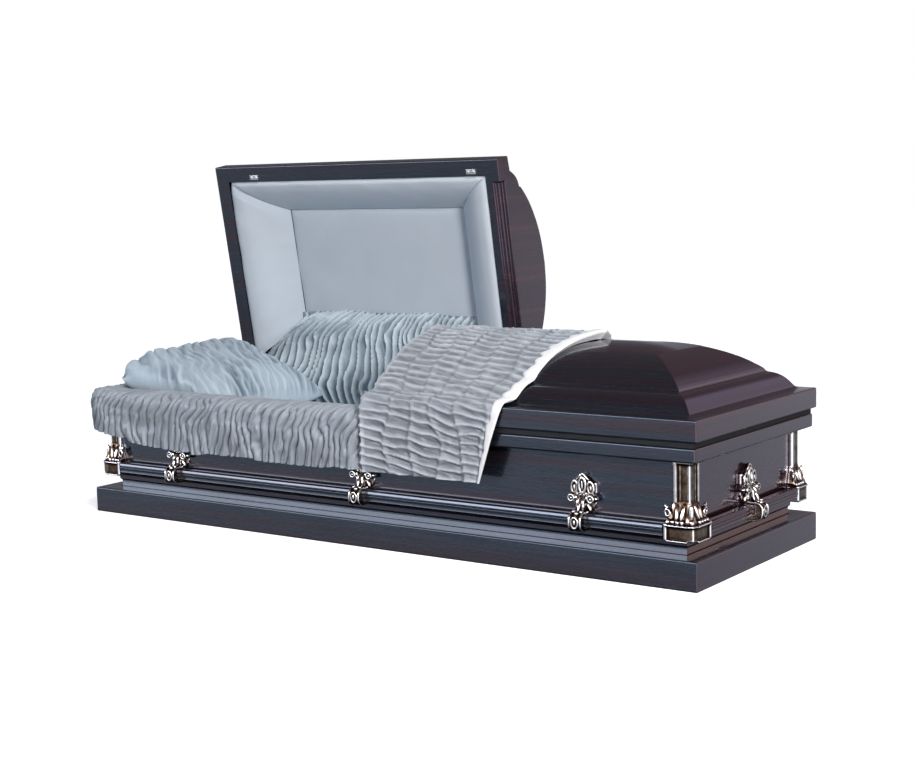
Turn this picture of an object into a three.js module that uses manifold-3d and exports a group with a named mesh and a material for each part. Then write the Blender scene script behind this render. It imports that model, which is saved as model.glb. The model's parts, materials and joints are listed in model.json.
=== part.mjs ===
// A half-couch funeral casket of painted sheet steel, shown open: millimetres, +Z up.
// The head end points to -X, the hinge side to +Y, and the origin is the centre of the underside.
// The head lid stands open on its hinge, the foot lid is shut, and a cloth throw lies over it.
import * as THREE from 'three';
import { mergeVertices } from 'three/addons/utils/BufferGeometryUtils.js';
import Module from 'manifold-3d';

const wasm = await Module();
wasm.setup();

// Driving dimensions
const LENGTH = 2108;            // 83 in, the outline of the base moulding and of the lid
const WIDTH = 711;              // 28 in
const SHEET = 1.5;              // sheet steel of the body and the lids
const GAP = 0.4;                // between pieces that touch
const BASE_HEIGHT = 76.5;
const BASE_DEPTH = 57.6;        // how far the base moulding reaches in from its outline
const SKIRT_INSET = 58;         // the body's foot, where it stands in the base moulding
const PANEL_INSET = 45;         // the body's side panels
const FLANGE_LOW = 314.5;       // underside of the body's top moulding
const BODY_TOP = 352;
const LID_BOTTOM = 367.2;
const LID_RIM = 55;             // height of the lid's upright rim
const SPLIT_X = 94;             // where the head lid ends and the foot lid begins
const OPEN_ANGLE = 80.4;        // degrees that the head lid stands open
const LINING_DEPTH = 98;        // how far the lid's centre panel lies above its underside
const PIVOT_HEIGHT = 200;       // the handle arms' pivots on the ears
const PIVOT_PROUD = 14;         // and how far they stand off the panels
const BAR_LOW = 128;
const BAR_HIGH = 160;
const BAR_INNER = 11;           // the bar's inner face, measured out from the panel
const BAR_OUTER = 36;
const BOOT_WING = 54;           // how far a corner fitting's boot runs along each side
const BAR_END_GAP = 2;
const SIDE_EAR_SPACING = 715;   // between the ears of a long side

const halfL = LENGTH / 2;
const halfW = WIDTH / 2;
const panelX = halfL - PANEL_INSET;
const panelY = halfW - PANEL_INSET;

// Materials
const steelSide = { color: 0x3f444e, roughness: 0.3, metalness: 0.75 };
const castMetal = { color: 0xb9b2a8, roughness: 0.18, metalness: 0.95 };
const liningCloth = { color: 0xa5b3c0, roughness: 0.7, metalness: 0 };
const throwCloth = { color: 0xc8ccd4, roughness: 0.65, metalness: 0 };
const darkRubber = { color: 0x15161a, roughness: 0.8, metalness: 0 };

// Solids and meshes

// A closed mesh from points and triangles, turned so that its faces point out.
function closedMesh(points, triangles) {
  let volume = 0;
  for (const [a, b, c] of triangles) {
    volume += points[a].dot(new THREE.Vector3().crossVectors(points[b], points[c]));
  }
  const positions = [];
  for (const [a, b, c] of triangles) {
    for (const k of volume > 0 ? [a, b, c] : [a, c, b]) {
      positions.push(points[k].x, points[k].y, points[k].z);
    }
  }
  const geometry = new THREE.BufferGeometry();
  geometry.setAttribute('position', new THREE.Float32BufferAttribute(positions, 3));
  return geometry;
}

function toSolid(geometry) {
  const bare = geometry.clone();
  bare.deleteAttribute('normal');
  bare.deleteAttribute('uv');
  const merged = mergeVertices(bare, 1e-4);
  return new wasm.Manifold(new wasm.Mesh({
    numProp: 3,
    vertProperties: new Float32Array(merged.attributes.position.array),
    triVerts: new Uint32Array(merged.index.array),
  }));
}

function toGeometry(solid) {
  const mesh = solid.getMesh();
  const geometry = new THREE.BufferGeometry();
  geometry.setAttribute('position', new THREE.Float32BufferAttribute(mesh.vertProperties, 3));
  geometry.setIndex(Array.from(mesh.triVerts));
  geometry.computeVertexNormals();
  return geometry;
}

function box(low, high) {
  const size = high.map((value, k) => value - low[k]);
  const geometry = new THREE.BoxGeometry(...size);
  geometry.translate(...low.map((value, k) => value + size[k] / 2));
  return geometry;
}

const boxSolid = (low, high) => toSolid(box(low, high));

// A cylinder whose axis runs along X.
function rodAlongX(radius, fromX, toX, y, z, sides = 12) {
  const geometry = new THREE.CylinderGeometry(radius, radius, toX - fromX, sides);
  geometry.rotateZ(Math.PI / 2);
  geometry.translate((fromX + toX) / 2, y, z);
  return geometry;
}

// Joins rings of equally many points into a closed solid, and fills the two end rings.
function loft(rings, flatten) {
  const count = rings[0].length;
  const walls = [];
  for (let r = 0; r + 1 < rings.length; r += 1) {
    for (let k = 0; k < count; k += 1) {
      const a = r * count + k;
      const b = r * count + ((k + 1) % count);
      walls.push([a, b, b + count], [a, b + count, a + count]);
    }
  }
  const edgesOf = ([a, b, c]) => [`${a},${b}`, `${b},${c}`, `${c},${a}`];
  const wallEdges = new Set(walls.flatMap(edgesOf));
  const caps = [0, rings.length - 1].flatMap((r) => {
    const faces = THREE.ShapeUtils.triangulateShape(rings[r].map(flatten), [])
      .map((face) => face.map((k) => k + r * count));
    const clash = faces.flatMap(edgesOf).some((edge) => wallEdges.has(edge));
    return faces.map(([a, b, c]) => (clash ? [a, c, b] : [a, b, c]));
  });
  return closedMesh(rings.flat(), [...walls, ...caps]);
}

const vector = (x, y, z) => new THREE.Vector3(x, y, z);
const flatXY = (p) => new THREE.Vector2(p.x, p.y);
const flatYZ = (p) => new THREE.Vector2(p.y, p.z);

// A prism along X from a closed outline of [y, z] points.
function prismAlongX(outline, fromX, toX) {
  return loft([fromX, toX].map((x) => outline.map(([y, z]) => vector(x, y, z))), flatYZ);
}

// A path moved sideways by a distance, to the right of its direction, with mitred corners.
function offsetPath(path, distance) {
  const normals = path.slice(1).map(([x, y], k) => {
    const run = [x - path[k][0], y - path[k][1]];
    const length = Math.hypot(...run);
    return [run[1] / length, -run[0] / length];
  });
  return path.map(([x, y], k) => {
    const before = normals[Math.max(k - 1, 0)];
    const after = normals[Math.min(k, normals.length - 1)];
    const sum = [before[0] + after[0], before[1] + after[1]];
    const scale = (2 * distance) / (sum[0] ** 2 + sum[1] ** 2);
    return [x + sum[0] * scale, y + sum[1] * scale];
  });
}

// A mitred frame around the casket: a closed outline of [inset, z] points, swept round the rectangle.
function frameSweep(outline) {
  const corners = [[-1, -1], [1, -1], [1, 1], [-1, 1]];
  const points = [];
  for (const [sx, sy] of corners) {
    for (const [inset, z] of outline) points.push(vector(sx * (halfL - inset), sy * (halfW - inset), z));
  }
  const triangles = [];
  const count = outline.length;
  for (let r = 0; r < corners.length; r += 1) {
    for (let k = 0; k < count; k += 1) {
      const next = (k + 1) % count;
      const here = r * count;
      const there = ((r + 1) % corners.length) * count;
      triangles.push([here + k, here + next, there + next], [here + k, there + next, there + k]);
    }
  }
  return closedMesh(points, triangles);
}

// The base moulding: a rolled section right round the foot of the body, with a flat top ledge.
function baseMoulding() {
  return frameSweep([
    [1.5, 0], [0, 1.5], [0, BASE_HEIGHT - 3], [3, BASE_HEIGHT], [BASE_DEPTH, BASE_HEIGHT], [BASE_DEPTH, 0],
  ]);
}

// The body: one folded sheet from the foot to the return of the top moulding, and a floor.
function bodyShell() {
  const bandInset = 53;
  const nose = 8;
  const topReturn = 74;
  const outer = [
    [SKIRT_INSET, 0], [SKIRT_INSET, 96], [bandInset, 99], [bandInset, 113], [PANEL_INSET, 122],
    [PANEL_INSET, FLANGE_LOW], [nose + 4, FLANGE_LOW], [nose, FLANGE_LOW + 5], [nose, BODY_TOP - 7],
    [nose + 2, BODY_TOP - 2], [nose + 7, BODY_TOP], [topReturn, BODY_TOP], [topReturn, BODY_TOP - 10],
  ];
  const inner = offsetPath(outer, SHEET).reverse();
  const walls = toSolid(frameSweep([...outer, ...inner]));
  const reach = SKIRT_INSET + SHEET / 2;
  const floor = boxSolid([-halfL + reach, -halfW + reach, 0], [halfL - reach, halfW - reach, SHEET]);
  return toGeometry(walls.add(floor));
}

// The rubber seal between the body and the lids.
function rimGasket() {
  const low = BODY_TOP + 0.3;
  const high = LID_BOTTOM - 0.6;
  return frameSweep([[12, low], [12, high - 2], [14, high], [19, high], [21, high - 2], [21, low]]);
}

// Lids. They are drawn shut, with the hinge axis as X axis: y runs from -WIDTH to 0, z up from the underside.

// Across the lid from its edge to the ridge: [inset, height]
const lidProfile = [
  [0, 0], [0, LID_RIM - 2], [2, LID_RIM], [40, 59], [46, 64], [54, 77], [66, 90], [82, 100], [101, 106],
  [105, 115], [120, 127], [140, 142], [165, 156], [195, 170], [227, 182], [260, 190], [300, 196.5],
  [halfW, 201.6],
];

// The volume under a lid's outer face, or under its inner face when inward is the sheet's thickness.
// side is -1 for the head lid and 1 for the foot lid.
function lidVolume(side, inward) {
  const moved = inward ? offsetPath(lidProfile, inward) : lidProfile;
  const profile = moved.map(([inset, height], k) => [
    k === moved.length - 1 ? halfW : inset, k === 0 ? inward : height,
  ]);
  const splitX = SPLIT_X + side * (inward + GAP / 2);
  const endX = side * halfL;
  const points = [];
  for (const [inset, height] of profile) {
    points.push(
      vector(splitX, -WIDTH + inset, height),
      vector(endX - side * inset, -WIDTH + inset, height),
      vector(endX - side * inset, -inset, height),
      vector(splitX, -inset, height),
    );
  }
  const triangles = [[0, 1, 2], [0, 2, 3]];
  for (let k = 0; k + 1 < profile.length; k += 1) {
    const low = k * 4;
    const high = low + 4;
    for (let c = 0; c < 4; c += 1) {
      const next = (c + 1) % 4;
      triangles.push([low + c, high + next, low + next], [low + c, high + c, high + next]);
    }
  }
  const top = (profile.length - 1) * 4;
  const kept = triangles.filter((face) => {
    const [a, b, c] = face.map((k) => points[k]);
    return new THREE.Vector3().subVectors(b, a).cross(new THREE.Vector3().subVectors(c, a)).length() > 1e-6;
  });
  points[top + 3].copy(points[top]);
  points[top + 2].copy(points[top + 1]);
  return toSolid(closedMesh(points, kept));
}

// The head lid's rabbet along the split: two steps in its lower edge, [reach back, height].
const rabbet = [[23.6, 11], [12, 28]];
const RABBET_NEAR = -640;
const RABBET_FAR = -30;

const rabbetSteps = (grow) => rabbet.map(([reach, height]) => boxSolid(
  [SPLIT_X - reach - grow, RABBET_NEAR - grow, -1], [SPLIT_X + 5, RABBET_FAR + grow, height + grow],
));

// The holes in a lid's lower return, and the lining that fills it: [x, y] ranges in the lid's own frame.
const RETURN_WIDTH = 50;
const END_RETURN = 55;
const SPLIT_RETURN = 49;
const liningOpening = (side) => ({
  x: side < 0 ? [-halfL + END_RETURN, SPLIT_X - SPLIT_RETURN] : [SPLIT_X + 26, halfL - END_RETURN],
  y: [-WIDTH + RETURN_WIDTH, -RETURN_WIDTH],
});
const liningPanel = (side) => ({
  x: side < 0 ? [-831, -118] : [283, 831],
  y: [-547, -164],
});

// Hinges: their barrels lie on the lids' common axis.
const HINGE_RADIUS = 5;
const HINGE_LENGTH = 90;
const headHingeX = [-820, -130];
const footHingeX = [300, 860];

function lidShell(side) {
  let outer = lidVolume(side, 0);
  let inner = lidVolume(side, SHEET);
  if (side < 0) {
    for (const step of rabbetSteps(0)) outer = outer.subtract(step);
    for (const step of rabbetSteps(SHEET)) inner = inner.subtract(step);
  }
  const { x, y } = liningOpening(side);
  let shell = outer.subtract(inner).subtract(boxSolid([x[0], y[0], -1], [x[1], y[1], SHEET + 1]));
  for (const centre of side < 0 ? headHingeX : footHingeX) {
    const half = HINGE_LENGTH / 2 + 1;
    shell = shell.subtract(toSolid(rodAlongX(HINGE_RADIUS + 1, centre - half, centre + half, 0, 0, 16)));
  }
  return toGeometry(shell);
}

// One padded roll of a lid's lining, from the edge of the opening up to the centre panel.
// Its section is [share of the way in, height]; the rolls meet at mitres, and the head lid's end
// at the gathered cloth over the hinge.
const PUFF_REACH = 213;
const rollSection = [
  [0.01, 2], [0.12, 1], [0.35, 13], [0.6, 38], [0.83, 68], [0.985, LINING_DEPTH - 1],
  [0.985, LINING_DEPTH + 6], [0.5, LINING_DEPTH + 4], [0.06, 46],
];

function liningRoll(side, where) {
  const hole = liningOpening(side);
  const panel = liningPanel(side);
  const between = (from, to, share) => from + (to - from) * share;
  const cut = 0.3;
  const ends = rollSection.map(([share, height]) => {
    const x0 = between(hole.x[0], panel.x[0], share);
    const x1 = between(hole.x[1], panel.x[1], share);
    const y0 = between(hole.y[0], panel.y[0], share);
    const y1 = side < 0 ? -PUFF_REACH - 3 : between(hole.y[1], panel.y[1], share);
    const pairs = {
      near: [[x0 + cut, y0], [x1 - cut, y0]],
      hinge: [[x0 + cut, y1], [x1 - cut, y1]],
      low: [[x0, y0 + cut], [x0, y1 - cut]],
      high: [[x1, y0 + cut], [x1, y1 - cut]],
    };
    return pairs[where].map(([x, y]) => vector(x, y, height));
  });
  const alongX = where === 'near' || where === 'hinge';
  const flatten = alongX ? flatYZ : (p) => new THREE.Vector2(p.x, p.z);
  return loft([ends.map((pair) => pair[0]), ends.map((pair) => pair[1])], flatten);
}

function liningCentre(side) {
  const { x, y } = liningPanel(side);
  const inset = 0.5;
  return box([x[0] + inset, y[0] + inset, LINING_DEPTH], [x[1] - inset, y[1] - inset, LINING_DEPTH + 8]);
}

// The gathered cloth that bridges the hinge, on the lid's side of it: [y, z] in the lid's frame.
function hingePuff() {
  const outline = [
    [-18, -1], [-RETURN_WIDTH - 1, -1], [-RETURN_WIDTH - 3, 34], [-150, 96], [-205, 96],
    [-PUFF_REACH, 70], [-196, 12], [-150, -18], [-90, -26], [-36, -20], [-18, -9],
  ];
  return prismAlongX(outline, -halfL + 2 * END_RETURN, SPLIT_X - SPLIT_RETURN - 3);
}

// A catch on the lid's lower return, with two round studs.
function lidCatch(x) {
  const y = -675;
  let solid = boxSolid([x - 17, y - 7.5, -4], [x + 17, y + 7.5, -0.3]);
  for (const shift of [-9.5, 9.5]) {
    const stud = new THREE.CylinderGeometry(3.4, 4.4, 4, 6);
    stud.rotateX(Math.PI / 2);
    stud.translate(x + shift, y, -5);
    solid = solid.add(toSolid(stud));
  }
  return toGeometry(solid);
}

// A hinge's fixed half: a barrel on the axis and a leaf down the body's top moulding.
function hingeHalf(centre) {
  const from = centre - HINGE_LENGTH / 2;
  const to = centre + HINGE_LENGTH / 2;
  const face = halfW - 8;
  const barrel = toSolid(rodAlongX(HINGE_RADIUS, from, to, halfW, LID_BOTTOM, 10));
  const leaf = boxSolid([from, face + 0.3, FLANGE_LOW + 9], [to, face + 3.6, LID_BOTTOM - 0.5]);
  return toGeometry(barrel.add(leaf));
}

// Hardware. It is drawn for a side that faces -Y, with y = 0 on the body's panel.

// An ear: a fluted, pointed plate with a round boss each side for the arm's pivot.
// Each level is [height, half width, depth, depth of the flutes].
const earLevels = [
  [160, 13, 4, 0], [170, 27, 5, 0.5], [184, 34, 5.5, 0], [208, 34, 5.5, 0], [213, 37, 12, 2.6],
  [238, 37, 14, 3.2], [248, 27, 13, 2.6], [257, 13, 11, 1.5], [263, 3, 8, 0],
];

function ear() {
  const columns = 10;
  const rings = earLevels.map(([z, half, depth, flute]) => {
    const ring = [vector(half, -GAP, z), vector(-half, -GAP, z)];
    for (let k = 0; k <= columns; k += 1) {
      const share = -1 + (2 * k) / columns;
      const bow = depth * (0.62 + 0.38 * Math.sqrt(Math.max(0, 1 - share * share)));
      ring.push(vector(share * half, -bow - flute * Math.cos(3 * Math.PI * share), z));
    }
    return ring;
  });
  let solid = toSolid(loft(rings, flatXY));
  for (const side of [-1, 1]) {
    const boss = [0, 1].map((k) => side * (20.5 + 18 * k)).sort((a, b) => a - b);
    solid = solid.add(toSolid(rodAlongX(11, boss[0], boss[1], -PIVOT_PROUD + 1, PIVOT_HEIGHT, 8)));
    const knob = new THREE.SphereGeometry(8.5, 6, 4);
    knob.translate(side * 38.5, -PIVOT_PROUD, PIVOT_HEIGHT);
    solid = solid.add(toSolid(knob));
  }
  return toGeometry(solid);
}

// A handle bar: grooved along its outer face.
const barOutline = [
  [BAR_INNER, BAR_LOW + 3], [BAR_INNER + 4, BAR_LOW], [BAR_OUTER - 6, BAR_LOW], [BAR_OUTER - 2, BAR_LOW + 2],
  [BAR_OUTER - 2, 132], [BAR_OUTER - 5, 134.5], [BAR_OUTER - 1, 138], [BAR_OUTER, 145],
  [BAR_OUTER - 4, 147.6], [BAR_OUTER, 150], [BAR_OUTER - 2, BAR_HIGH - 3], [BAR_OUTER - 7, BAR_HIGH],
  [BAR_INNER + 4, BAR_HIGH], [BAR_INNER, BAR_HIGH - 3],
].map(([proud, z]) => [-proud, z]);

const handleBar = (half) => prismAlongX(barOutline, -half, half);

// An arm: a barrel on the pivot, a swan neck and the clasp round the bar.
function handleArm() {
  const neckHalf = 10;
  const claspHalf = 18.5;
  const barrel = toSolid(rodAlongX(7, -19.5, 19.5, -PIVOT_PROUD, PIVOT_HEIGHT, 10));
  const neck = toSolid(prismAlongX(
    [[-9, 203], [-19, 203], [-23, 190], [-30, 176], [-41, 163], [-30, 150], [-22, 158], [-17, 176], [-11, 190]],
    -neckHalf, neckHalf,
  ));
  const clasp = toSolid(prismAlongX([
    [-6.5, 124], [-12, 118], [-42, 118], [-52, 124], [-56, 134], [-56, 148], [-52, 158], [-42, 164],
    [-14, 164], [-6.5, 158],
  ], -claspHalf, claspHalf));
  const rib = toSolid(prismAlongX(
    [[-40, 116], [-50, 121], [-57.5, 132], [-57.5, 150], [-50, 161], [-40, 166]], -5, 5,
  ));
  const hole = toSolid(prismAlongX(offsetOutline(barOutline, 0.5), -claspHalf - 5, claspHalf + 5));
  return toGeometry(barrel.add(neck).add(clasp).add(rib).subtract(hole));
}

// A closed outline grown on all sides.
function offsetOutline(outline, distance) {
  const turned = THREE.ShapeUtils.isClockWise(outline.map((p) => new THREE.Vector2(...p)));
  const path = [outline.at(-1), ...outline, outline[0]];
  return offsetPath(path, turned ? -distance : distance).slice(1, -1);
}

// A corner fitting: a fluted shaft, a flare of petals and a square boot, lofted upwards.
// Each level is [height, proud of the panel, wing length, petal depth, squareness of the corner].
const cornerLevels = [
  [117, 27, 51, 0, 0.38], [119.5, 30, 53, 0, 0.4], [153, 30, 53, 0, 0.4], [154.5, 32, BOOT_WING, 0, 0.4],
  [158, 32, BOOT_WING, 0, 0.4], [161, 23, 48, 2, 0.3], [172, 24, 50, 5, 0.2], [205, 12, 47, 3, 0.2],
  [211, 11, 50, 0, 0.3], [214, 7.5, 49, 1.8, 0.5], [305, 7.5, 49, 1.8, 0.5], [308, 10, 51, 0, 0.5],
  [314, 10, 51, 0, 0.5],
];

function cornerFitting(sx, sy) {
  const along = 7;
  const fan = 4;
  const rings = cornerLevels.map(([z, proud, wing, petal, square]) => {
    const ring = [];
    const add = (x, y) => ring.push(vector(sx * (panelX + x), sy * (panelY + y), z));
    const flute = (k) => petal * (k % 2 ? 1 : -0.35);
    for (let k = 0; k < along; k += 1) add((k / along - 1) * wing, proud + flute(k));
    for (let k = 0; k <= fan; k += 1) {
      const angle = (k / fan) * (Math.PI / 2);
      const reach = 1 + square * (1 / Math.max(Math.cos(angle), Math.sin(angle)) - 1);
      const distance = (proud + flute(k)) * reach;
      add(Math.sin(angle) * distance, Math.cos(angle) * distance);
    }
    for (let k = along - 1; k >= 0; k -= 1) add(proud + flute(k), (k / along - 1) * wing);
    add(GAP, -wing);
    add(GAP, GAP);
    add(-wing, GAP);
    return ring;
  });
  return loft(rings, flatXY);
}

// Soft furnishings: plain closed solids of the padded and gathered cloth.
const LINING_FACE = 268;        // the side linings' inner faces
const LINING_BACK = 293;
const LINING_END = 960;
const BED_TOP = 284;
const BED_HEAD = 368;

// The mattress, raised at the head.
function mattress() {
  const halfWidth = LINING_FACE - 3;
  const end = LINING_END - 3;
  const outline = [[-end, 3], [end, 3], [end, BED_TOP], [-600, BED_TOP], [-end, BED_HEAD]];
  const rings = [-halfWidth, halfWidth].map((y) => outline.map(([x, z]) => vector(x, y, z)));
  return loft(rings, (p) => new THREE.Vector2(p.x, p.z));
}

// The pillow: a propped cushion that thins towards its seam.
const pillowSize = { x: [-992, -622], y: [-282, 252] };

function pillow() {
  const steps = 8;
  const points = [];
  const bed = (x) => BED_TOP + Math.max(0, (-600 - x) / (LINING_END - 603)) * (BED_HEAD - BED_TOP);
  for (const top of [true, false]) {
    for (let i = 0; i <= steps; i += 1) {
      for (let j = 0; j <= steps; j += 1) {
        const a = -1 + (2 * i) / steps;
        const b = -1 + (2 * j) / steps;
        const pull = 1 - 0.05 * (1 - a * a) * b * b - 0.05 * (1 - b * b) * a * a;
        const x = lerp(pillowSize.x, (a * pull + 1) / 2);
        const nearTuck = b < 0 ? -b * 20 * Math.min(1, a + 1) : 0;
        const y = lerp(pillowSize.y, (b * pull + 1) / 2) + nearTuck;
        const seam = 372 - 66 * a - (b < 0 && a < 0 ? 12 * a * b : 0);
        const crown = Math.sqrt((1 - a ** 4) * (1 - b ** 4));
        const under = Math.max(bed(x) + 2, seam - 62 * crown);
        points.push(vector(x, y, top ? seam + 82 * crown : Math.min(under, seam)));
      }
    }
  }
  const row = steps + 1;
  const sheet = row * row;
  const edge = (i, j) => i === 0 || j === 0 || i === steps || j === steps;
  const index = (top, i, j) => (top || edge(i, j) ? 0 : sheet) + i * row + j;
  const triangles = [];
  for (let i = 0; i < steps; i += 1) {
    for (let j = 0; j < steps; j += 1) {
      for (const top of [true, false]) {
        const [a, b, c, d] = [[i, j], [i + 1, j], [i + 1, j + 1], [i, j + 1]].map((at) => index(top, ...at));
        triangles.push(...(top ? [[a, b, c], [a, c, d]] : [[a, c, b], [a, d, c]]));
      }
    }
  }
  return closedMesh(points, triangles);
}

function lerp([from, to], share) {
  return from + (to - from) * share;
}

// The apron: gathered cloth from the inner edge over the rim and down outside, at the near side and the
// head end. Its outline is [distance in from the casket's outline, z].
const apronOutline = [
  [88, 353], [89, 374], [74, 390], [40, 397], [0, 392], [-22, 374], [-29, 340], [-27, 280], [-24, 228],
  [-14, 228], [-15, 300], [-12, 340], [3, 358], [10, 367.4], [24, 367.4], [25, 353],
];

function apron() {
  const endX = 28;
  const endY = 285;
  const rings = [
    apronOutline.map(([inset, z]) => vector(endX, -halfW + inset, z)),
    apronOutline.map(([inset, z]) => vector(-halfL + inset, -halfW + inset, z)),
    apronOutline.map(([inset, z]) => vector(-halfL + inset, endY, z)),
  ];
  return loft(rings, (p) => (Math.abs(p.x - endX) < 1 ? flatYZ(p) : new THREE.Vector2(p.x, p.z)));
}

// The throw over the foot lid. Its hanging part is [inset, z, thickness, x of its right hem]; over the lid
// it follows the lid's profile, with a thickness and a hem that change with the inset.
const throwLeft = 32;
const throwHang = [[-5, 218, 12, 420], [-4, 300, 12, 449], [-3, 380, 13, 476], [-3, 424, 14, 491]];
const throwThickness = [[40, 16], [105, 14], [165, 16], [227, 20], [300, 28], [halfW, 33]];
const throwHemNear = [[40, 505], [105, 524], [165, 530], [227, 548], [300, 576], [halfW, 602]];
const throwHemFar = [[105, 660], [227, 640], [300, 622], [halfW, 602]];

// Reads a table of [inset, value] rows between its rows.
function readTable(table, inset) {
  const k = Math.max(1, table.findIndex(([limit]) => limit >= inset));
  const [[i0, v0], [i1, v1]] = [table[k - 1], table[k]];
  return v0 + ((v1 - v0) * (inset - i0)) / (i1 - i0);
}

function clothThrow() {
  const lift = 1.2;
  const overLid = (first, hemTable) => lidProfile.filter(([inset]) => inset >= first)
    .map(([inset, height]) => [
      inset, LID_BOTTOM + height + lift, readTable(throwThickness, inset), readTable(hemTable, inset),
    ]);
  const place = (list, side) => list.map(([inset, z, thick, hem]) => ({
    y: side * (halfW - inset), z, thick, hem,
  }));
  const stations = [
    ...place(throwHang, -1), ...place(overLid(40, throwHemNear), -1),
    ...place(overLid(105, throwHemFar).slice(0, -1).reverse(), 1),
  ];
  const rim = throwHang.length - 1;
  const rings = stations.map(({ y, z, thick, hem }, k) => {
    const outY = k <= rim ? y - thick : y;
    const outZ = k < rim ? z : z + (k === rim ? thick / 2 : thick);
    const middle = (throwLeft + hem) / 2;
    return [
      vector(throwLeft, y, z), vector(middle, y, z), vector(hem, y, z),
      vector(hem, outY, outZ), vector(middle, outY, outZ), vector(throwLeft, outY, outZ),
    ];
  });
  return loft(rings, (p) => new THREE.Vector2(p.x, Math.abs(p.y) > halfW ? p.y : p.z));
}

// Assembly
const casket = new THREE.Group();

function piece(group, name, geometry, look) {
  const mesh = new THREE.Mesh(geometry, new THREE.MeshStandardMaterial(look));
  mesh.name = name;
  group.add(mesh);
  return mesh;
}

piece(casket, 'base_moulding', baseMoulding(), steelSide);
piece(casket, 'body_shell', bodyShell(), steelSide);
piece(casket, 'rim_gasket', rimGasket(), darkRubber);

for (const [name, sx, sy] of [
  ['near_head', -1, -1], ['near_foot', 1, -1], ['far_head', -1, 1], ['far_foot', 1, 1],
]) {
  piece(casket, `corner_fitting_${name}`, cornerFitting(sx, sy), castMetal);
}

// The four sides that carry a handle: [name, turn about Z, distance of the panel, half bar, ear places].
// Ears and arms are numbered from the head end.
const handleSides = [
  ['near', 0, panelY, panelX - BOOT_WING - BAR_END_GAP, [-SIDE_EAR_SPACING, 0, SIDE_EAR_SPACING]],
  ['far', Math.PI, panelY, panelX - BOOT_WING - BAR_END_GAP, [SIDE_EAR_SPACING, 0, -SIDE_EAR_SPACING]],
  ['head', -Math.PI / 2, panelX, panelY - BOOT_WING - BAR_END_GAP, [0]],
  ['foot', Math.PI / 2, panelX, panelY - BOOT_WING - BAR_END_GAP, [0]],
];

for (const [name, turn, distance, half, places] of handleSides) {
  const side = new THREE.Group();
  side.rotation.z = turn;
  casket.add(side);
  const face = new THREE.Group();
  face.position.y = -distance;
  side.add(face);
  piece(face, `handle_bar_${name}`, handleBar(half), steelSide);
  places.forEach((x, k) => {
    const suffix = places.length > 1 ? `${name}_${k + 1}` : name;
    piece(face, `ear_${suffix}`, ear(), castMetal).position.x = x;
    piece(face, `handle_arm_${suffix}`, handleArm(), castMetal).position.x = x;
  });
}

[...headHingeX, ...footHingeX].forEach((x, k) => {
  piece(casket, `hinge_${k + 1}`, hingeHalf(x), castMetal);
});

piece(casket, 'mattress', mattress(), liningCloth);
piece(casket, 'pillow', pillow(), liningCloth);
const liningTop = BODY_TOP - 12;
piece(casket, 'near_lining', box([-984, -LINING_BACK, 3], [984, -LINING_FACE, liningTop]), liningCloth);
piece(casket, 'far_lining', box([-984, LINING_FACE, 3], [984, LINING_BACK, liningTop]), liningCloth);
const endLining = (x0, x1) => box([x0, -LINING_FACE + 2, 3], [x1, LINING_FACE - 2, liningTop]);
piece(casket, 'head_lining', endLining(-984, -LINING_END), liningCloth);
piece(casket, 'foot_lining', endLining(LINING_END, 984), liningCloth);
piece(casket, 'apron', apron(), liningCloth);
piece(casket, 'throw', clothThrow(), throwCloth);

const lids = [['head', -1, -OPEN_ANGLE], ['foot', 1, 0]];
for (const [name, side, angle] of lids) {
  const lid = new THREE.Group();
  lid.position.set(0, halfW, LID_BOTTOM);
  lid.rotation.x = THREE.MathUtils.degToRad(angle);
  casket.add(lid);
  piece(lid, `${name}_lid`, lidShell(side), steelSide);
  piece(lid, `${name}_lid_centre_panel`, liningCentre(side), liningCloth);
  piece(lid, `${name}_lid_roll_near`, liningRoll(side, 'near'), liningCloth);
  piece(lid, `${name}_lid_roll_end`, liningRoll(side, side < 0 ? 'low' : 'high'), liningCloth);
  piece(lid, `${name}_lid_roll_split`, liningRoll(side, side < 0 ? 'high' : 'low'), liningCloth);
  if (side < 0) {
    piece(lid, 'hinge_puff', hingePuff(), liningCloth);
    piece(lid, 'lid_catch_1', lidCatch(-881), castMetal);
    piece(lid, 'lid_catch_2', lidCatch(-5), castMetal);
  } else {
    piece(lid, 'foot_lid_roll_hinge', liningRoll(side, 'hinge'), liningCloth);
  }
}

export default casket;
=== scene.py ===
# %% [markdown]
# # A half-couch funeral casket
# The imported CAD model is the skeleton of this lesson: it fixes where every part is and how large.
# We dress it piece by piece, with the head end at -X and the hinge side at +Y. The scene is in
# metres; shapes are drawn in millimetres, as such things are measured, and scaled by MM.

# %% Load the frame
import json
import math

import bmesh
import bpy
import numpy as np
from mathutils import Matrix, Vector


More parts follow.
